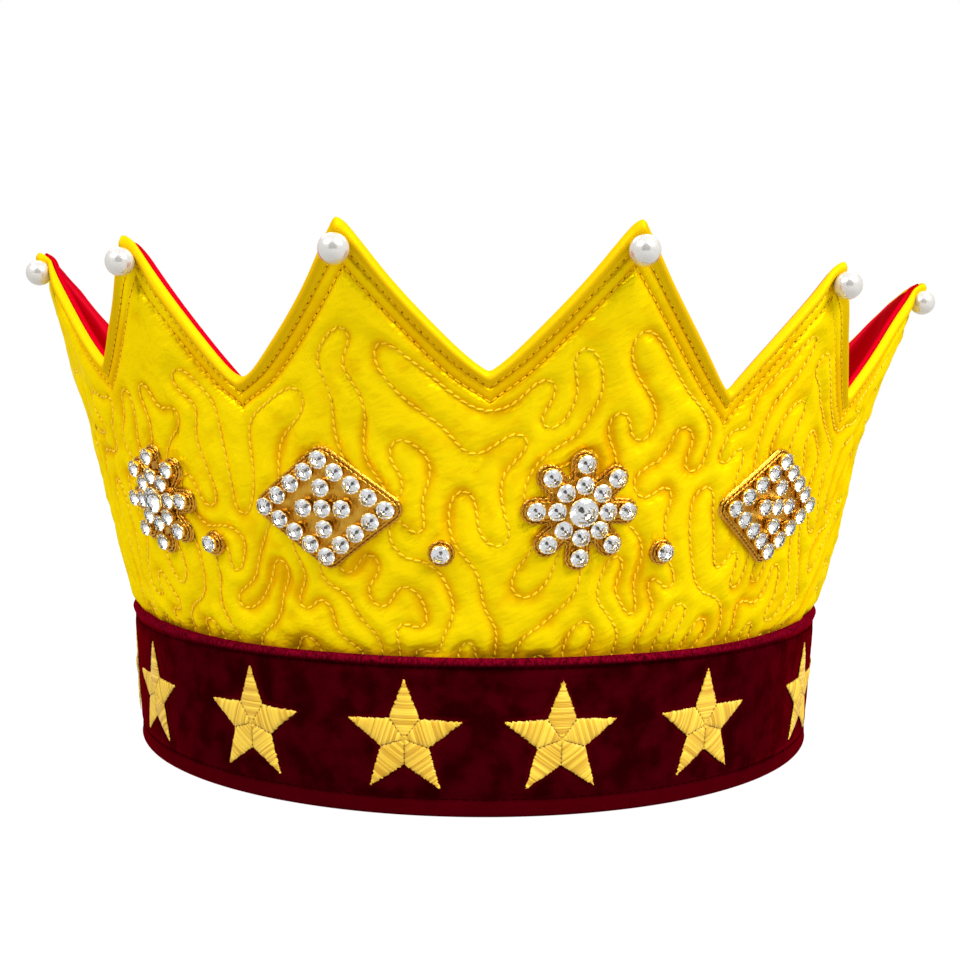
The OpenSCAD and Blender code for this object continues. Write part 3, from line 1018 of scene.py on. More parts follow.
print("band triangles:", 2 * len(band.data.polygons))

# %% Sew the band's two seams
band_tree = tree_of(band)
band_sewing = [sew(band_tree, row_theta, np.full(len(row_theta), height), 2.2 * MM, 0.34 * MM, 0.3 * MM,
                   radius=band_radius) for height in (seam_top, seam_low)]
band_thread = mesh_from("band_thread", *joined([band_sewing[0][0], band_sewing[1][0]]))
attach(band_thread, "root")
print("stitches in each seam of the band:", len(band_sewing[0][0][1]) // len(stitch_shape[1]))


# %% [markdown]
# Embroidered stars
#
# Each star is satin stitch over a pad: threads lie side by side straight across every arm, from one
# edge to the other, and so shine differently on each arm. A picture of threads on a flat star would
# not do that. Here every thread is its own narrow, arched strip, a grid three points wide and nine
# long, that climbs over the pad and dives into the velvet at the star's edge. Along the line from
# the centre to each inner corner, where the threads of two arms meet, the needle has left a few
# dark holes.

# %% Measures of a star and its threads
THREAD_PITCH = 0.36 * MM
CORNER_S = STAR_R * STAR_WAIST * math.cos(math.pi / 5)
CORNER_W = STAR_R * STAR_WAIST * math.sin(math.pi / 5)
PAD_RISE = 0.42 * MM
SIDE_STEPS = np.sin(np.linspace(-1, 1, 9) * math.pi / 2)
STRIP = ((-0.5, 0.13), (0, 0), (0.5, 0.13))
numbers = np.zeros((len(STRIP), len(SIDE_STEPS), 3))
numbers[..., 0] = np.arange(numbers[..., 0].size).reshape(numbers.shape[:2])
strip_numbers, strip_faces = shape_of(bent_grid(numbers, closed=(False, False)))
strip_order = strip_numbers[:, 0].round().astype(int)
print("points in a thread:", len(strip_order))


# %% Lay one thread across an arm
def patch(theta_c, z_c, u, v, lift, radius=lookup_skin):
    """Points beside a place on a wall: u to the right and v up, in metres, lifted square to it."""
    u, v, lift = np.broadcast_arrays(np.asarray(u, float), np.asarray(v, float), np.asarray(lift, float))
    theta = theta_c + np.degrees(np.arcsin(u / (radius(theta_c, z_c) + lift)))
    return place(theta, z_c + v, lift, radius)


def arm_width(s):
    """Half width of a star's arm at a distance s from the centre."""
    rising = s / CORNER_S * CORNER_W
    falling = CORNER_W * (STAR_R - s) / (STAR_R - CORNER_S)
    return np.minimum(rising, falling)


def thread(theta_c, z_c, axis, s, rng):
    """Points of one thread across an arm that points along axis, s from the centre."""
    width = max(float(arm_width(s)), 0.12 * MM)
    reach = width + (rng.uniform(-0.10, 0.22) * MM if s > CORNER_S else 0)
    t = SIDE_STEPS * reach
    skew = rng.uniform(-0.05, 0.05) * MM
    arch = PAD_RISE * min(1.0, width / (1.5 * MM)) ** 0.5
    dome = arch * np.clip(1 - np.abs(t / max(reach, 1e-6)) ** 3, 0, 1) ** 0.6
    lean = rng.uniform(-0.03, 0.05) * MM
    rows = []
    for side, drop in STRIP:
        along = s + side * THREAD_PITCH * 1.25 + skew * t / max(reach, 1e-6)
        u = along * math.cos(axis) - t * math.sin(axis)
        v = along * math.sin(axis) + t * math.cos(axis)
        rows.append(patch(theta_c, z_c, u, v, 0.22 * MM + dome + lean - drop * MM, band_radius))
    return np.concatenate(rows)[strip_order]


# %% Lay all the threads of a star
def star_threads(theta_c, z_c, rng):
    """Every thread of one star, with a random shade for each of its points."""
    threads, shades = [], []
    for arm in range(5):
        for s in np.arange(0.3 * MM, STAR_R + 0.1 * MM, THREAD_PITCH):
            threads.append((thread(theta_c, z_c, math.pi / 2 + arm * 2 * math.pi / 5, s, rng), strip_faces))
            shades.extend([rng.random()] * len(strip_order))
    return joined(threads), shades


def give_attribute(obj, name, values):
    attribute = obj.data.attributes.new(name, "FLOAT", "POINT")
    attribute.data.foreach_set("value", np.asarray(values, dtype=np.float32))


# %% Embroider the stars
star_rng = random.Random(5)
pin_points = []
for piece, theta_c, z_c in star_places:
    threads, shades = star_threads(theta_c, z_c, star_rng)
    star_obj = mesh_from("embroidered_star_" + piece[5:], *threads)
    give_attribute(star_obj, "shade", shades)
    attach(star_obj, "root")
    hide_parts(piece)
    turn = math.pi / 2 + (np.repeat(np.arange(5), 5) + 0.5) * 2 * math.pi / 5
    rho = (np.tile(np.arange(1, 6), 5) + 0.25) * MM
    centres, above = (patch(theta_c, z_c, rho * np.cos(turn), rho * np.sin(turn), lift * MM, band_radius)
                      for lift in (0.36, 1.36))
    along = np.tile([0.0, 0.0, 1.0], (len(turn), 1))
    pin_points.append(copies((hole_shape[0] * 0.42 * MM, hole_shape[1]), centres, along, above - centres))
star_pins = mesh_from("star_needle_holes", *joined(pin_points))
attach(star_pins, "root")
print("threads a star:", len(shades) // len(strip_order), " triangles a star:", 2 * len(threads[1]))

# %% Lay a pad under each star, so that no velvet shows between its threads
bm = bmesh.new()
bmesh.ops.create_circle(bm, cap_ends=True, segments=60, radius=1)
bmesh.ops.inset_region(bm, faces=bm.faces, thickness=0.2)
pad_points, pad_faces = shape_of(bm)
rho = np.hypot(pad_points[:, 0], pad_points[:, 1])
reach = star_reach(np.arctan2(pad_points[:, 0], pad_points[:, 1])) * 0.97
lift = np.where(rho > 0.95, 0.02, 0.30) * MM
pads = [(patch(theta_c, z_c, pad_points[:, 0] * reach, pad_points[:, 1] * reach, lift, band_radius), pad_faces)
        for _, theta_c, z_c in star_places]
star_pads = mesh_from("star_pads", *joined(pads))
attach(star_pads, "root")
print("pads:", len(pads))

# %% [markdown]
# Pearls
#
# A pearl is a smooth ball of glass under a pearly coat, sewn on through a hole along its middle. It
# lies in the dish that its stitch pulls into the satin. A fine sphere is all that it needs; what
# makes it a pearl is in its material.

# %% Make the pearls
for piece in sorted(NODE_CENTRES):
    if not piece.startswith("pearl_"):
        continue
    bm = bmesh.new()
    bmesh.ops.create_uvsphere(bm, u_segments=64, v_segments=40, radius=PEARL_R)
    bmesh.ops.translate(bm, verts=bm.verts, vec=NODE_CENTRES[piece])
    pearl = mesh_from("pearl_bead_" + piece[6:], *shape_of(bm))
    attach(pearl, "root")
    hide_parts(piece)
print("pearls:", sum(p.startswith("pearl_") for p in NODE_CENTRES))

# %% [markdown]
# Cut stones
#
# The ornaments carry small round brilliants with a foiled back. A brilliant is made the way a
# cutter makes it: flat facets are ground on a blank, one after another, each by a plane that takes
# away what lies outside it. Sixteen ways round, that gives a table, star, kite and girdle facets on
# top and two tiers of facets below.

# %% Cut one stone
def grind(bm, tilt, turn, depth):
    """Cut a flat facet: its normal leans tilt degrees from up, towards turn degrees."""
    normal = Vector((math.sin(math.radians(tilt)) * math.cos(math.radians(turn)),
                     math.sin(math.radians(tilt)) * math.sin(math.radians(turn)), math.cos(math.radians(tilt))))
    cut = bmesh.ops.bisect_plane(bm, geom=bm.verts[:] + bm.edges[:] + bm.faces[:], dist=1e-5,
                                 plane_co=normal * depth, plane_no=normal, clear_outer=True)
    rim = [e for e in cut["geom_cut"] if isinstance(e, bmesh.types.BMEdge)]
    if rim:
        bmesh.ops.contextual_create(bm, geom=rim)


CULET_DEPTH = 0.76
# of each tier: how many facets, their tilt, the turn of the first, and how far from the middle
FACETS = ((8, 34, 0, 0.59), (16, 42, 11.25, 0.675), (8, 20, 22.5, 0.458), (1, 0, 0, 0.36),
          (8, 139, 0, 0.66), (16, 136, 11.25, 0.70), (1, 180, 0, CULET_DEPTH))


def brilliant():
    """A round brilliant of radius 1, its widest line at height 0."""
    bm = bmesh.new()
    bmesh.ops.create_cone(bm, cap_ends=True, segments=16, radius1=1, radius2=1, depth=3)
    for count, tilt, first, depth in FACETS:
        for i in range(count):
            grind(bm, tilt, first + i * 360 / count, depth)
    bmesh.ops.dissolve_degenerate(bm, dist=1e-4, edges=bm.edges)
    bmesh.ops.recalc_face_normals(bm, faces=bm.faces)
    return bm


stone_shape = shape_of(brilliant())
print("stone: points", len(stone_shape[0]), "facets", len(stone_shape[1]), " heights",
      round(stone_shape[0][:, 2].min(), 2), round(stone_shape[0][:, 2].max(), 2))


# %% [markdown]
# The ornaments
#
# Each ornament is a pad of gold bullion with a border of two twisted wires, and on it stand small
# metal cups that hold the stones by four claws. Two are rosettes, of a large stone and two rings of
# eight, and two are lozenges, of sixteen stones round five. Three single stones in cups of their
# own sit between them.
#
# A twisted wire is made as one tube whose section is not round but has two lobes, and the lobes
# turn as the tube runs on. That gives the light and dark bands of a real twist for few faces. The
# tube is a grid bent round on itself, and the pad is a grid whose last row shrinks to one point.

# %% Twist a wire
def twisted_wire(points, out, radius, pitch, sides=8):
    """Points of a closed two-strand twist along a closed path: one ring of points per path point."""
    run = np.roll(points, -1, axis=0) - np.roll(points, 1, axis=0)
    run /= np.linalg.norm(run, axis=1, keepdims=True)
    out = out - run * np.sum(out * run, axis=1, keepdims=True)
    out /= np.linalg.norm(out, axis=1, keepdims=True)
    across = np.cross(out, run)
    step = np.linalg.norm(np.roll(points, -1, axis=0) - points, axis=1)
    total = step.sum()
    twist = 2 * math.pi * np.concatenate([[0], np.cumsum(step)[:-1]]) / total * round(total / pitch)
    turn = np.arange(sides) * 2 * math.pi / sides
    swell = radius * (0.80 + 0.30 * np.cos(2 * turn[None] - twist[:, None]))
    return points[:, None] + swell[..., None] * (np.cos(turn)[None, :, None] * out[:, None]
                                                 + np.sin(turn)[None, :, None] * across[:, None])


# %% Make a cup and the bead at the end of a claw
bm = bmesh.new()
bmesh.ops.create_cone(bm, cap_ends=False, segments=16, radius1=0.72, radius2=1.03, depth=0.8)
bmesh.ops.translate(bm, verts=bm.verts, vec=(0, 0, -0.38))
rim_edges = [e for e in bm.edges if e.verts[0].co.z > 0 and e.verts[1].co.z > 0]
lip = bmesh.ops.extrude_edge_only(bm, edges=rim_edges)["geom"]
lip = [g for g in lip if isinstance(g, bmesh.types.BMVert)]
bmesh.ops.scale(bm, verts=lip, vec=(0.93, 0.93, 1))
bmesh.ops.translate(bm, verts=lip, vec=(0, 0, 0.02))
cup_shape = shape_of(bm)
bm = bmesh.new()
bmesh.ops.create_icosphere(bm, subdivisions=1, radius=1)
bead_shape = shape_of(bm)
print("faces of a cup and a bead:", len(cup_shape[1]), len(bead_shape[1]))

# %% Set the stones on the wall
CUP_FOOT, CUP_RISE = 1.57 * MM, 0.9 * MM
CLAW_R, CLAW_RISE, CLAW_REACH = 0.30 * MM, 0.16 * MM, 0.98


def stone_frames(theta_c, z_c, spots):
    """Centre of each stone's widest line, with the directions along and out of the wall, and its size."""
    frames = []
    for u, v, size in spots:
        z = z_c + v
        theta = theta_c + math.degrees(math.asin(u / (float(lookup_skin(theta_c, z)) + CUP_FOOT + CUP_RISE)))
        a = math.radians(theta)
        turned = facing(theta, z)
        along, out = np.array(turned.col[0]), np.array(turned.col[2])
        foot = place(theta, z, 0) + CUP_FOOT * np.array([math.sin(a), -math.cos(a), 0])
        frames.append((foot + CUP_RISE * size / STONE_R * out, along, out, size))
    return [np.array(column) for column in zip(*frames)]


def claws(centres, along, out, sizes):
    """Points and faces of the claws: four round a small stone, eight round a large one."""
    beads = []
    for c, a, o, size in zip(centres, along, out, sizes):
        side = np.cross(o, a)
        count = 4 if size <= STONE_R else 8
        for k in range(count):
            w = math.pi / 4 + k * 2 * math.pi / count
            spot = c + (a * math.cos(w) + side * math.sin(w)) * size * CLAW_REACH + o * CLAW_RISE
            beads.append((spot, a, o, CLAW_R))
    return copies(bead_shape, *zip(*beads))


# %% Lay a pad and its wires
WIRE_R, WIRE_PITCH, WIRE_STEP = 0.33 * MM, 1.25 * MM, 0.16 * MM
WIRE_PLACES = ((0.34 * MM, 0.62 * MM), (1.02 * MM, 0.85 * MM))
PAD_INSET = 0.05 * MM
PAD_SHARES = np.array([1.0, 0.985, 0.95, 0.90, 0.84, 0.75, 0.62, 0.45, 0.25, 0.08, 0.0])
PAD_LIFTS = np.array([0.0, 0.35, 0.55, 0.62, 0.62, 0.62, 0.60, 0.58, 0.40, 0.28, 0.28]) * MM


def border_wires(theta_c, z_c, reach, count):
    """Two twisted wires along a pad's edge: each runs an inset from it, lifted off the wall."""
    turn = np.linspace(0, 2 * math.pi, count, endpoint=False)
    wires = []
    for inset, lift in WIRE_PLACES:
        r = reach(turn, inset)
        u, v = (np.append(line, line[0]) for line in (r * np.cos(turn), r * np.sin(turn)))
        run = np.concatenate([[0], np.cumsum(np.hypot(np.diff(u), np.diff(v)))])
        even = np.linspace(0, run[-1], max(60, int(run[-1] / WIRE_STEP)), endpoint=False)
        u, v = np.interp(even, run, u), np.interp(even, run, v)
        path, above = (patch(theta_c, z_c, u, v, height) for height in (lift, lift + MM))
        wires.append(shape_of(bent_grid(twisted_wire(path, above - path, WIRE_R, WIRE_PITCH))))
    return wires


def bullion_pad(theta_c, z_c, reach):
    """A pad as rings of points that rise from its edge and shrink to its middle."""
    turn = np.linspace(0, 2 * math.pi, 160, endpoint=False)[:, None]
    r = reach(turn, PAD_INSET) * PAD_SHARES
    rings = patch(theta_c, z_c, r * np.cos(turn), r * np.sin(turn), PAD_LIFTS)
    return shape_of(bent_grid(rings, closed=(True, False)))


# %% Make the ornaments
def ornament(name, theta_c, z_c, reach, spots, replaced):
    """One ornament: its bullion pad with wires, its cups and claws, and its stones."""
    wires = border_wires(theta_c, z_c, reach, 1200 if len(spots) > 1 else 180)
    frames = stone_frames(theta_c, z_c, spots)
    ground_obj = mesh_from(name + "_bullion", *joined([bullion_pad(theta_c, z_c, reach), *wires]))
    cups_obj = mesh_from(name + "_cups", *joined([copies(cup_shape, *frames), claws(*frames)]))
    stones_obj = mesh_from(name + "_stones", *copies(stone_shape, *frames), smooth=False)
    for obj, slot in ((ground_obj, "bullion"), (cups_obj, "bullion"), (stones_obj, "stone")):
        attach(obj, "root")
    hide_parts(replaced[0])
    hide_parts(replaced[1])
    return ground_obj, cups_obj, stones_obj


def rim_reach(turn, inset=0.0):
    """Distance from a single stone's centre to the edge of its round ground."""
    return RIM_R - inset + 0 * turn


KINDS = (("lozenge", lozenge_reach, lozenge_stones()), ("rosette", rosette_reach, rosette_stones()))
ornaments = []
for i in range(1, 5):
    theta_c, z_c = polar_of(NODE_CENTRES[f"motif_{i}"])
    kind, reach, spots = KINDS[i % 2]
    ornaments.append(ornament(f"{kind}_{i}", theta_c, z_c, reach, spots, (f"motif_{i}", f"stones_{i}")))
for i in range(1, 4):
    theta_c, z_c = polar_of(NODE_CENTRES[f"spacer_{i}"])
    ornaments.append(ornament(f"single_{i}", theta_c, z_c, rim_reach, [(0, 0, STONE_R)],
                              (f"spacer_{i}", f"spacer_stone_{i}")))
print("triangles of a rosette:", [sum(len(p.vertices) - 2 for p in o.data.polygons) for o in ornaments[0]])

# %% [markdown]
# What the materials share
#
# Four effects are used again and again: the uneven colour of anything dyed, the long creases of
# drawn cloth, the puckers that gather at a seam, and a slanting weave. All four are noise, stretched
# more or less and laid at a slant. Each is made once as a group that puts out a plain value, and
# each material mixes it in its own amount. So a change to one effect reaches every cloth.

# %% Node groups for cloth and thread
def new_group(name, inputs, output):
    group = bpy.data.node_groups.new(name, "ShaderNodeTree")
    for label, value in inputs:
        group.interface.new_socket(label, in_out="INPUT", socket_type="NodeSocketFloat").default_value = value
    group.interface.new_socket(output, in_out="OUTPUT", socket_type="NodeSocketFloat")
    return group, group.nodes.new("NodeGroupInput"), group.nodes.new("NodeGroupOutput")


def noise_height(name, detail, stretch, slant=0):
    """A group: noise on Object coordinates, of a scale given per metre, stretched along a slant."""
    group, start, end = new_group(name, [("Scale", 100.0)], "Height")
    coordinate = group.nodes.new("ShaderNodeTexCoord")
    mapping = group.nodes.new("ShaderNodeMapping")
    mapping.vector_type = "TEXTURE"
    mapping.inputs["Scale"].default_value = [1 / s for s in stretch]
    mapping.inputs["Rotation"].default_value = (0, math.radians(slant), 0)
    texture = group.nodes.new("ShaderNodeTexNoise")
    texture.inputs["Detail"].default_value = detail
    group.links.new(coordinate.outputs["Object"], mapping.inputs["Vector"])
    group.links.new(mapping.outputs["Vector"], texture.inputs["Vector"])
    group.links.new(start.outputs["Scale"], texture.inputs["Scale"])
    group.links.new(texture.outputs["Fac"], end.inputs["Height"])
    return group


uneven = noise_height("Uneven dye", 4.0, (1, 1, 1))
creases = noise_height("Cloth creases", 3.0, (1, 1, 0.45))
puckers = noise_height("Puckers", 3.0, (1, 1, 0.6), 55)
weave = noise_height("Slanting weave", 2.0, (1, 1, 0.14), 65)
print("node groups:", [g.name for g in bpy.data.node_groups])


# %% Make a material, a node and a link
def material(name, colour, rough, **sockets):
    """A new material with its Principled shader's plain values set."""
    mat = bpy.data.materials.new(name)
    mat.use_nodes = True
    shader = mat.node_tree.nodes["Principled BSDF"]
    shader.inputs["Base Color"].default_value = (*colour, 1)
    shader.inputs["Roughness"].default_value = rough
    for label, value in sockets.items():
        shader.inputs[label.replace("_", " ")].default_value = value
    mat.diffuse_color = (*colour, 1)
    return mat, shader


def node(mat, kind, **settings):
    made = mat.node_tree.nodes.new(kind)
    for key, value in settings.items():
        setattr(made, key, value)
    return made


def link(mat, start, end):
    mat.node_tree.links.new(start, end)


# %% Values and colours for a material
def effect(mat, group, scale):
    """One of the shared effects, at a scale given per metre."""
    made = node(mat, "ShaderNodeGroup")
    made.node_tree = group
    made.inputs["Scale"].default_value = scale
    return made.outputs["Height"]


def read(mat, name):
    """A value kept on the mesh's own points."""
    return node(mat, "ShaderNodeAttribute", attribute_name=name).outputs["Fac"]


def blend_colours(mat, factor, first, second):
    mixer = node(mat, "ShaderNodeMix", data_type="RGBA")
    link(mat, factor, mixer.inputs["Factor"])
    for socket, value in ((mixer.inputs[6], first), (mixer.inputs[7], second)):
        if isinstance(value, bpy.types.NodeSocket):
            link(mat, value, socket)
        else:
            socket.default_value = (*value, 1)
    return mixer.outputs[2]


def span(mat, value, low, high, out_low=0.0, out_high=1.0):
    """A value moved from one range to another, and held inside it."""
    made = node(mat, "ShaderNodeMapRange", interpolation_type="SMOOTHSTEP")
    link(mat, value, made.inputs["Value"])
    for label, number in (("From Min", low), ("From Max", high), ("To Min", out_low), ("To Max", out_high)):
        made.inputs[label].default_value = number
    return made.outputs["Result"]


def tint(mat, shader, factor, first, second):
    """Blend two colours by a value, as the shader's base colour."""
    link(mat, blend_colours(mat, factor, first, second), shader.inputs["Base Color"])


def maths(mat, operation, first, second):
    made = node(mat, "ShaderNodeMath", operation=operation)
    link(mat, first, made.inputs[0])
    link(mat, second, made.inputs[1])
    return made.outputs["Value"]


# %% Relief, and dressing a piece
def bumps(mat, shader, *layers):
    """Relief from (height, metres) pairs, one on top of the other."""
    normal = None
    for height, distance in layers:
        made = node(mat, "ShaderNodeBump")
        made.inputs["Distance"].default_value = distance
        link(mat, height, made.inputs["Height"])
        if normal is not None:
            link(mat, normal, made.inputs["Normal"])
        normal = made.outputs["Normal"]
    link(mat, normal, shader.inputs["Normal"])


def grained(name, colour, rough, scale, depth, **sockets):
    """A plain material with a finely uneven face."""
    mat, shader = material(name, colour, rough, **sockets)
    bumps(mat, shader, (effect(mat, uneven, scale), depth))
    return mat


def dress(obj, *mats):
    obj.data.materials.clear()
    for mat in mats:
        obj.data.materials.append(mat)


def dress_all(start_of_name, mat):
    """Dress every object whose name starts so, and count them."""
    found = [obj for obj in bpy.data.objects if obj.name.startswith(start_of_name)]
    for obj in found:
        dress(obj, mat)
    return len(found)


# %% [markdown]
# Yellow satin
#
# Satin floats most of its threads on one face, so it is smooth and its highlights are broad. It is
# dyed a strong yellow. Where light bounces from fold to fold it turns orange, and that orange is
# painted shade here: in the seams that pull it down, in the puckers beside them and just above the
# band. The cord's lip along the edge is duller, and it is painted a little darker as painted shade
# under the light from above. Three measures are kept on the mesh's points, and the painted shade
# follows them: the satin's height over its plain wall, the distance from its edge, and the height
# above the band. The puckers and the weave are relief in the material, since they are finer than
# the mesh.

# %% Measure the satin for its colours
theta, r, z = to_polar(mesh_points(satin))
rise = (r - lookup_skin(theta, z)) / MM
from_edge = edge_distance(theta, z) / MM
give_attribute(satin, "rise", np.where(from_edge < 1.4, 0.3, rise))
give_attribute(satin, "inset", from_edge)
give_attribute(satin, "above_band", (z - BAND_TOP + band_sag(theta)) / MM)
print("rise of the satin, mm:", round(rise.min(), 2), "to", round(rise.max(), 2))

# %% Dye the satin, and paint its shade
# Painted shade: orange in the seams, in the puckers and just above the band, and a darker lip under the light
# from above.
SEAM_SHADE_YELLOW, SHADED_YELLOW, LIP_SHADE_YELLOW = (0.82, 0.42, 0.0005), (0.86, 0.46, 0.001), (0.78, 0.485, 0.003)
satin_mat, shader = material("Yellow satin", (0.95, 0.68, 0.001), 0.42, Metallic=0.45,
                             Specular_IOR_Level=0.0, Specular_Tint=(1, 0.85, 0.22, 1))
# Where the painted shade goes: the seams by the satin's height, the puckers by their noise, the strip above the
# band, and the lip.
seam_shade = span(satin_mat, read(satin_mat, "rise"), -0.65, 0.35, 1.0, 0.0)
puckered = span(satin_mat, effect(satin_mat, puckers, 150), 0.30, 0.48, 0.45, 0.0)
band_shade = span(satin_mat, read(satin_mat, "above_band"), -0.5, 3.0, 0.8, 0.0)
lip_shade = span(satin_mat, read(satin_mat, "inset"), 1.6, 3.0, 1.0, 0.0)
colour = blend_colours(satin_mat, effect(satin_mat, uneven, 45), (0.94, 0.66, 0.001), (1.0, 0.755, 0.002))
for factor, shade in ((seam_shade, SEAM_SHADE_YELLOW), (puckered, SHADED_YELLOW), (band_shade, SHADED_YELLOW)):
    colour = blend_colours(satin_mat, factor, colour, shade)
tint(satin_mat, shader, lip_shade, colour, LIP_SHADE_YELLOW)
print("blends of colour in the satin:", sum(n.type == "MIX" for n in satin_mat.node_tree.nodes))

# %% Give the satin its shine and relief
creased = span(satin_mat, effect(satin_mat, puckers, 130), 0.3, 0.7, 0.27, 0.42)
rough_lip = span(satin_mat, read(satin_mat, "inset"), 1.6, 3.0, 0.62, 0.27)
link(satin_mat, maths(satin_mat, "MAXIMUM", creased, rough_lip), shader.inputs["Roughness"])
below_lip = span(satin_mat, read(satin_mat, "inset"), 1.5, 3.5, 0.15, 1.0)
puckered = maths(satin_mat, "MULTIPLY", effect(satin_mat, puckers, 150), below_lip)
woven = maths(satin_mat, "MULTIPLY", effect(satin_mat, weave, 900), below_lip)
bumps(satin_mat, shader, (puckered, 1.0 * MM), (woven, 0.22 * MM), (effect(satin_mat, uneven, 900), 0.05 * MM))
dress(satin, satin_mat)
print("nodes in the satin's material:", len(satin_mat.node_tree.nodes))

# %% Dye the satin's threads, and paint the shade in its needle holes
GRAIN = (2500, 0.05 * MM)
dress(quilt_thread, grained("Yellow thread", (0.95, 0.62, 0.005), 0.45, *GRAIN, Specular_IOR_Level=0.25))
dress(edge_thread, grained("Edge thread", (0.93, 0.62, 0.004), 0.45, *GRAIN, Specular_IOR_Level=0.1))
# The needle holes of the edge rows and of the quilting are painted shade: dark discs where the thread dives into
# the cloth, darker here and there at random.
pit_mat, shader = material("Needle hole", (0.34, 0.14, 0.001), 0.9, Specular_IOR_Level=0.0)
pitted = span(pit_mat, effect(pit_mat, uneven, 400), 0.35, 0.65)
tint(pit_mat, shader, pitted, (0.17, 0.075, 0.001), (0.62, 0.30, 0.001))
dress(edge_holes, pit_mat)
quilt_pit_mat, shader = material("Quilting hole", (0.68, 0.36, 0.002), 0.9, Specular_IOR_Level=0.0)
tint(quilt_pit_mat, shader, effect(quilt_pit_mat, uneven, 400), (0.64, 0.31, 0.001), (0.84, 0.50, 0.002))
dress(quilt_holes, quilt_pit_mat)

# %% [markdown]
# Red lining
#
# A thinner satin, dyed red and drawn over a stiff base. Its highlights are longer than those of the
# yellow one because nothing breaks them. A crease turns the cloth's face a little on either side of
# it, and that is painted: one side lighter and the other darker, as painted light and shade. How far
# a point is on either side is kept on the mesh's points, and the painted light and shade follow it.

# %% Dye the lining, and paint the light and shade beside its creases
CREASE_TURN, CREASE_REACH = 3.0, 26
# How far each point lies on the lit or the shaded side of a crease, for the painted light and shade.
theta, _, z = to_polar(mesh_points(lining))
crease = np.zeros(len(theta))
for start, top in CREASES:
    aside = beside_crease(theta, z, start, top)
    crease += np.tanh(aside / CREASE_TURN) * bell(aside, CREASE_REACH) * share(z, *CREASE_FADE)
give_attribute(lining, "crease", crease)
print("sides of the creases:", round(crease.min(), 2), "to", round(crease.max(), 2))

lining_mat, shader = material("Red satin", (0.64, 0.0, 0.012), 0.4, Metallic=0.3,
                              Specular_IOR_Level=0.0, Specular_Tint=(1, 0.05, 0.1, 1))
# Painted light on the side behind each crease, painted shade on the side before it.
painted_light_side = span(lining_mat, read(lining_mat, "crease"), 0.0, 1.0)
painted_shade_side = span(lining_mat, read(lining_mat, "crease"), -1.0, 0.0, 1.0, 0.0)
colour = blend_colours(lining_mat, effect(lining_mat, uneven, 30), (0.38, 0.0, 0.006), (0.54, 0.001, 0.011))
colour = blend_colours(lining_mat, painted_light_side, colour, (0.70, 0.004, 0.022))
tint(lining_mat, shader, painted_shade_side, colour, (0.33, 0.0, 0.002))
bumps(lining_mat, shader, (effect(lining_mat, creases, 90), 0.5 * MM),
      (effect(lining_mat, uneven, 1100), 0.04 * MM))
dress(lining, lining_mat)

# %% [markdown]
# Velvet
#
# Velvet is a brush of short upright threads. Seen straight on, light is lost between them and the
# cloth is nearly black; seen along its surface, the sides of the threads shine. The sheen of the
# shader does that. Where the pile is pressed or brushed aside the colour is mottled, and it is a
# little lighter close to the stars that were sewn through it. The fold at the foot is painted
# lighter, as painted sheen for the light it catches. On the roll the pile is bent open, and its tufts
# show one by one, redder than the rest; the roll is also painted lighter, as painted sheen for the
# light from above.

# %% Dye the velvet, and paint the sheen on its fold and roll
theta, _, z = to_polar(mesh_points(band))
give_attribute(band, "star_distance", star_clearance(theta, z) / MM)
give_attribute(band, "height", z / MM)
give_attribute(band, "up_the_roll", (z - seam_top) / (BAND_TOP - band_sag(theta) - seam_top))

velvet_mat, shader = material("Dark red velvet", (0.03, 0.0, 0.002), 0.9, Sheen_Weight=0.6, Sheen_Roughness=0.3,
                              Sheen_Tint=(0.5, 0.0, 0.008, 1), Specular_IOR_Level=0.0)
mottled = span(velvet_mat, effect(velvet_mat, uneven, 160), 0.35, 0.65)
by_star = span(velvet_mat, read(velvet_mat, "star_distance"), 0.2, 2.2, 0.7, 0.0)
# Painted sheen: the fold at the foot is painted lighter, for the light it catches.
fold_sheen = span(velvet_mat, read(velvet_mat, "height"), 3.0, 4.3, 0.8, 0.0)
up_roll = span(velvet_mat, read(velvet_mat, "up_the_roll"), 0.05, 0.7)
tufts = span(velvet_mat, effect(velvet_mat, creases, 1900), 0.35, 0.65)
colour = blend_colours(velvet_mat, mottled, (0.018, 0.0, 0.0005), (0.045, 0.0, 0.002))
colour = blend_colours(velvet_mat, by_star, colour, (0.085, 0.0, 0.003))
colour = blend_colours(velvet_mat, fold_sheen, colour, (0.058, 0.0, 0.002))
# On the roll the tufts show, and a painted sheen for the light from above makes the whole roll lighter and
# redder.
fuzz_and_sheen = blend_colours(velvet_mat, tufts, (0.045, 0.0, 0.003), (0.17, 0.001, 0.012))
tint(velvet_mat, shader, up_roll, colour, fuzz_and_sheen)
bumps(velvet_mat, shader, (effect(velvet_mat, creases, 300), 0.3 * MM),
      (effect(velvet_mat, uneven, 1600), 0.22 * MM))
dress(band, velvet_mat)
dress(band_thread, grained("Dark red thread", (0.02, 0.0, 0.001), 0.7, *GRAIN, Specular_IOR_Level=0.0))
print("nodes in the velvet's material:", len(velvet_mat.node_tree.nodes))

# %% [markdown]
# Embroidery thread, pearls, gold wire and stones
#
# Rayon thread is nearly as glossy as the satin, and every strand takes the light at its own angle,
# so each has its own shade. A pearl is a pale, half mirroring body under a clear, glossy coat, and
# its colour warms towards the rim, where the light has gone through more of the nacre. Gold wire is
# a warm metal, its colour darker and lighter in patches at random. A stone is clear glass in front of
# a silvered back: the facets below the widest line carry the silver, and the small flat at the
# bottom is painted dark, as a painted reflection of the dark surroundings at the stone's heart.

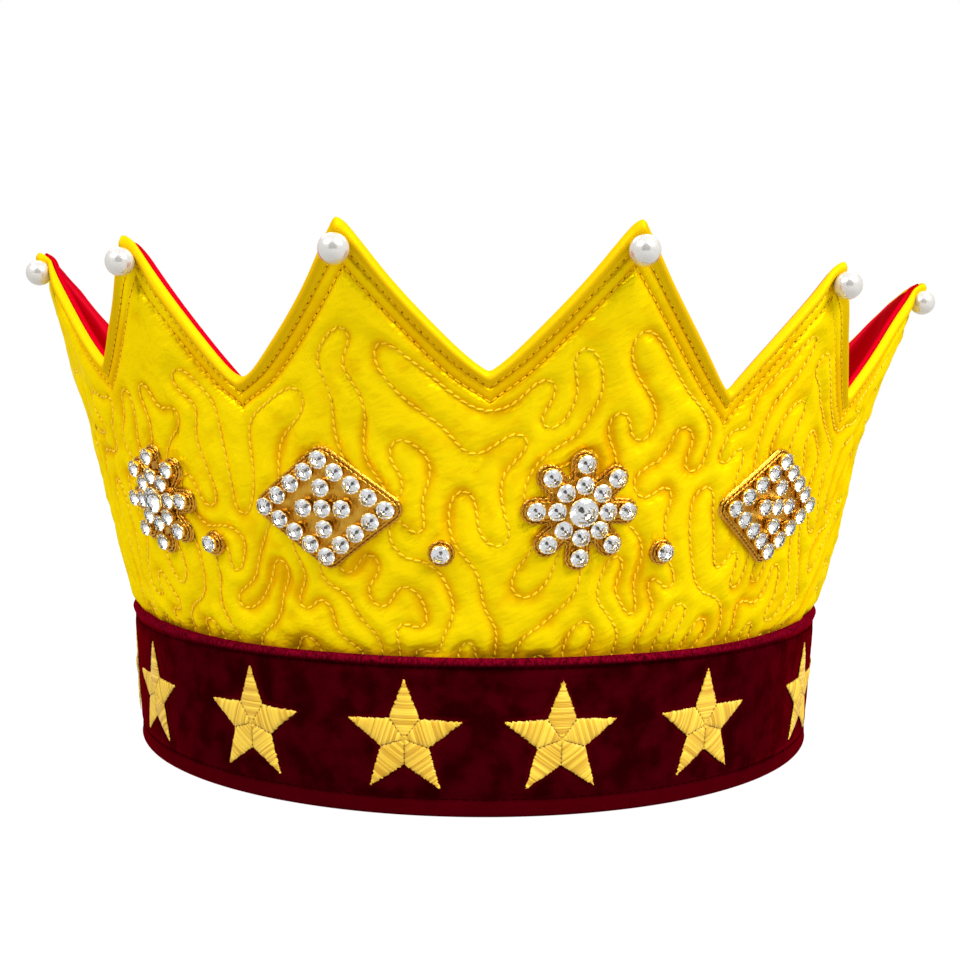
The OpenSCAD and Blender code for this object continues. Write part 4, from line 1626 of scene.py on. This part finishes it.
# %% Finish the stars
star_mat, shader = material("Gold embroidery", (0.9, 0.58, 0.045), 0.36, Specular_IOR_Level=0.5)
tint(star_mat, shader, read(star_mat, "shade"), (0.60, 0.31, 0.006), (0.97, 0.67, 0.055))
bumps(star_mat, shader, (effect(star_mat, uneven, 3000), 0.04 * MM))
print("stars dressed:", dress_all("embroidered_star_", star_mat))
dress(star_pads, grained("Star padding", (0.50, 0.25, 0.006), 0.7, 1500, 0.1 * MM))
dress(star_pins, grained("Star needle hole", (0.16, 0.07, 0.004), 0.9, 2000, 0.05 * MM))

# %% Finish the pearls
pearl_mat, shader = material("Pearl", (0.74, 0.72, 0.68), 0.2, Metallic=0.5, Coat_Weight=1.0, Coat_Roughness=0.05,
                             Specular_IOR_Level=0.8)
rim = node(pearl_mat, "ShaderNodeLayerWeight").outputs["Facing"]
nacre = blend_colours(pearl_mat, effect(pearl_mat, uneven, 140), (0.76, 0.73, 0.68), (0.71, 0.70, 0.67))
tint(pearl_mat, shader, span(pearl_mat, rim, 0.45, 0.95), nacre, (0.72, 0.58, 0.42))
bumps(pearl_mat, shader, (effect(pearl_mat, uneven, 900), 0.01 * MM))
print("pearls dressed:", dress_all("pearl_bead_", pearl_mat))

# %% Finish the metal and the stones
gold_mat, shader = material("Gold bullion", (0.62, 0.30, 0.02), 0.27, Metallic=1.0)
tint(gold_mat, shader, effect(gold_mat, uneven, 350), (0.34, 0.12, 0.004), (0.95, 0.55, 0.07))
bumps(gold_mat, shader, (effect(gold_mat, creases, 900), 0.25 * MM))
cup_mat = grained("Gold cup", (0.93, 0.66, 0.24), 0.22, 900, 0.05 * MM, Metallic=1.0)
glass_mat, _ = material("Cut glass", (1, 1, 1), 0.0, Transmission_Weight=1.0, IOR=1.55)
silver_mat, shader = material("Silvered back", (0.86, 0.86, 0.87), 0.07, Metallic=1.0)
tint(silver_mat, shader, effect(silver_mat, uneven, 500), (0.94, 0.95, 0.97), (1.0, 1.0, 1.0))
# The culet is painted dark: a painted reflection of the dark surroundings at the stone's heart.
culet_mat = grained("Culet", (0.10, 0.08, 0.07), 0.5, 900, 0.02 * MM)
heights = [np.mean(stone_shape[0][facet, 2]) for facet in stone_shape[1]]
slots = [2 if h < -CULET_DEPTH + 0.01 else 1 if h < -0.05 else 0 for h in heights]
for ground_obj, cups_obj, stones_obj in ornaments:
    dress(ground_obj, gold_mat)
    dress(cups_obj, cup_mat)
    dress(stones_obj, glass_mat, silver_mat, culet_mat)
    stones_obj.data.polygons.foreach_set("material_index", slots * (len(stones_obj.data.polygons) // len(slots)))
print("facets of glass, silver and culet:", [slots.count(k) for k in range(3)])

# %% [markdown]
# How much cloth the soft pieces take
#
# The satin wall is a quilted pad. The lining and the band are cloth cut flat and drawn over a stiff
# base. Their flat sizes are those of the cloth: the way round by the height, with the part that is
# turned over.

def cloth_area(obj):
    """Area of the cloth in square metres: half of the closed skin round it."""
    return sum(p.area for p in obj.data.polygons) / 2


print("areas, m2:", [round(cloth_area(o), 4) for o in (satin, lining, band)])

# %% [markdown]
# Studio
#
# The photo was taken against white, from just above the band's height, with large soft lights
# overhead on both sides. The pearls show them as two bright patches. The crown stands on a plain
# pale floor here, and two weaker lights behind it serve the other views. The floor and the world
# around are white to the camera but weaker to the crown, so that its shades stay as deep as in the
# photo. The pearls and stones also mirror what stood dark in front of the crown: a dark card does
# that here, which the camera doesn't see and which doesn't show through glass.

# %% Lay the floor
floor_mat, shader = material("Pale floor", (0.10, 0.10, 0.10), 0.8, Emission_Color=(1, 1, 1, 1),
                             Emission_Strength=0.95, Specular_IOR_Level=0.0)
seen = node(floor_mat, "ShaderNodeLightPath").outputs["Is Camera Ray"]
link(floor_mat, blend_colours(floor_mat, seen, (0.62, 0.62, 0.62), (1, 1, 1)), shader.inputs["Emission Color"])
bm = bmesh.new()
bmesh.ops.create_grid(bm, x_segments=1, y_segments=1, size=8)
floor = mesh_from("floor", *shape_of(bm))
floor.location.z = -0.0002
dress(floor, floor_mat)
print("floor, m:", [round(side, 1) for side in floor.dimensions[:2]])


# %% Hang the lights
LOOKED_AT = Vector((AXIS[0], AXIS[1], 0.07))


def soft_box(name, azimuth, elevation, distance, size, power):
    lamp = bpy.data.lights.new(name, "AREA")
    lamp.shape = "RECTANGLE"
    lamp.size, lamp.size_y = size
    lamp.energy = power
    obj = bpy.data.objects.new(name, lamp)
    a, e = math.radians(azimuth), math.radians(elevation)
    away = Vector((math.sin(a) * math.cos(e), -math.cos(a) * math.cos(e), math.sin(e)))
    obj.location = LOOKED_AT + distance * away
    obj.rotation_euler = (-away).to_track_quat("-Z", "Y").to_euler()
    bpy.context.scene.collection.objects.link(obj)


for place_name, azimuth, elevation, distance, power in (
        ("left", -44, 40, 1.0, 5.8), ("right", 40, 40, 1.0, 10.6),
        ("behind left", -140, 50, 1.1, 2.0), ("behind right", 140, 50, 1.1, 2.0)):
    soft_box("Soft box " + place_name, azimuth, elevation, distance, (0.6, 0.45), power)
print("lights:", len(bpy.data.lights))

# %% Put up the dark card
card_mat, shader = material("Dark card", (0.01, 0.01, 0.01), 0.9, Specular_IOR_Level=0.0)
bm = bmesh.new()
bmesh.ops.create_grid(bm, x_segments=1, y_segments=1, size=0.3)
bmesh.ops.scale(bm, verts=bm.verts, vec=(1.2, 1, 0.6))
bmesh.ops.rotate(bm, verts=bm.verts, matrix=Matrix.Rotation(math.radians(90), 3, "X"))
bmesh.ops.translate(bm, verts=bm.verts, vec=(AXIS[0], AXIS[1] - 0.75, 0.32))
card = mesh_from("dark_card", *shape_of(bm))
card.visible_camera = False
card.visible_transmission = False
dress(card, card_mat)
print("dark card, m:", [round(side, 2) for side in card.dimensions])

# %% Light the world
world = bpy.data.worlds.new("Studio")
world.use_nodes = True
bpy.context.scene.world = world
nodes, links = world.node_tree.nodes, world.node_tree.links
background = nodes["Background"]
background.inputs["Color"].default_value = (1, 1, 1, 1)
rays = nodes.new("ShaderNodeLightPath")
strength = nodes.new("ShaderNodeMapRange")
strength.inputs["To Min"].default_value = 0.71
strength.inputs["To Max"].default_value = 1.0
links.new(rays.outputs["Is Camera Ray"], strength.inputs["Value"])
links.new(strength.outputs["Result"], background.inputs["Strength"])
print("world's strength on the crown:", round(strength.inputs["To Min"].default_value, 2))

# %% Set the camera where the photo was taken from
# found by fitting the photo's view of the band and the points
LENS, TURNS = 43.535, (-1.0742, 2.3838, 0.5567)
BESIDE, IN_FRONT, EYE_HEIGHT = -5.44 * MM, 351.6 * MM, 85.8 * MM
camera_data = bpy.data.cameras.new("Camera")
camera_data.lens = LENS
camera_data.sensor_width = 36
camera = bpy.data.objects.new("Camera", camera_data)
yaw, pitch, roll = (math.radians(v) for v in TURNS)
right = Vector((math.cos(yaw), math.sin(yaw), 0))
ahead = Vector((-math.sin(yaw), math.cos(yaw), 0))
forward = ahead * math.cos(pitch) - Vector((0, 0, math.sin(pitch)))
up = ahead * math.sin(pitch) + Vector((0, 0, math.cos(pitch)))
turned_right = right * math.cos(roll) + up * math.sin(roll)
turned_up = up * math.cos(roll) - right * math.sin(roll)
camera.matrix_world = Matrix((turned_right, turned_up, -forward)).transposed().to_4x4()
camera.location = (AXIS[0] + BESIDE, AXIS[1] - IN_FRONT, EYE_HEIGHT)
bpy.context.scene.collection.objects.link(camera)
bpy.context.scene.camera = camera
bpy.context.scene.view_settings.view_transform = "Standard"
print("camera, mm:", [round(value / MM, 1) for value in camera.location])

# %% Record the size and finish
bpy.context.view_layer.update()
meshes = [o.data for o in bpy.data.objects if o.type == "MESH"]
print("triangles in all:", sum(len(p.vertices) - 2 for mesh in meshes for p in mesh.polygons))
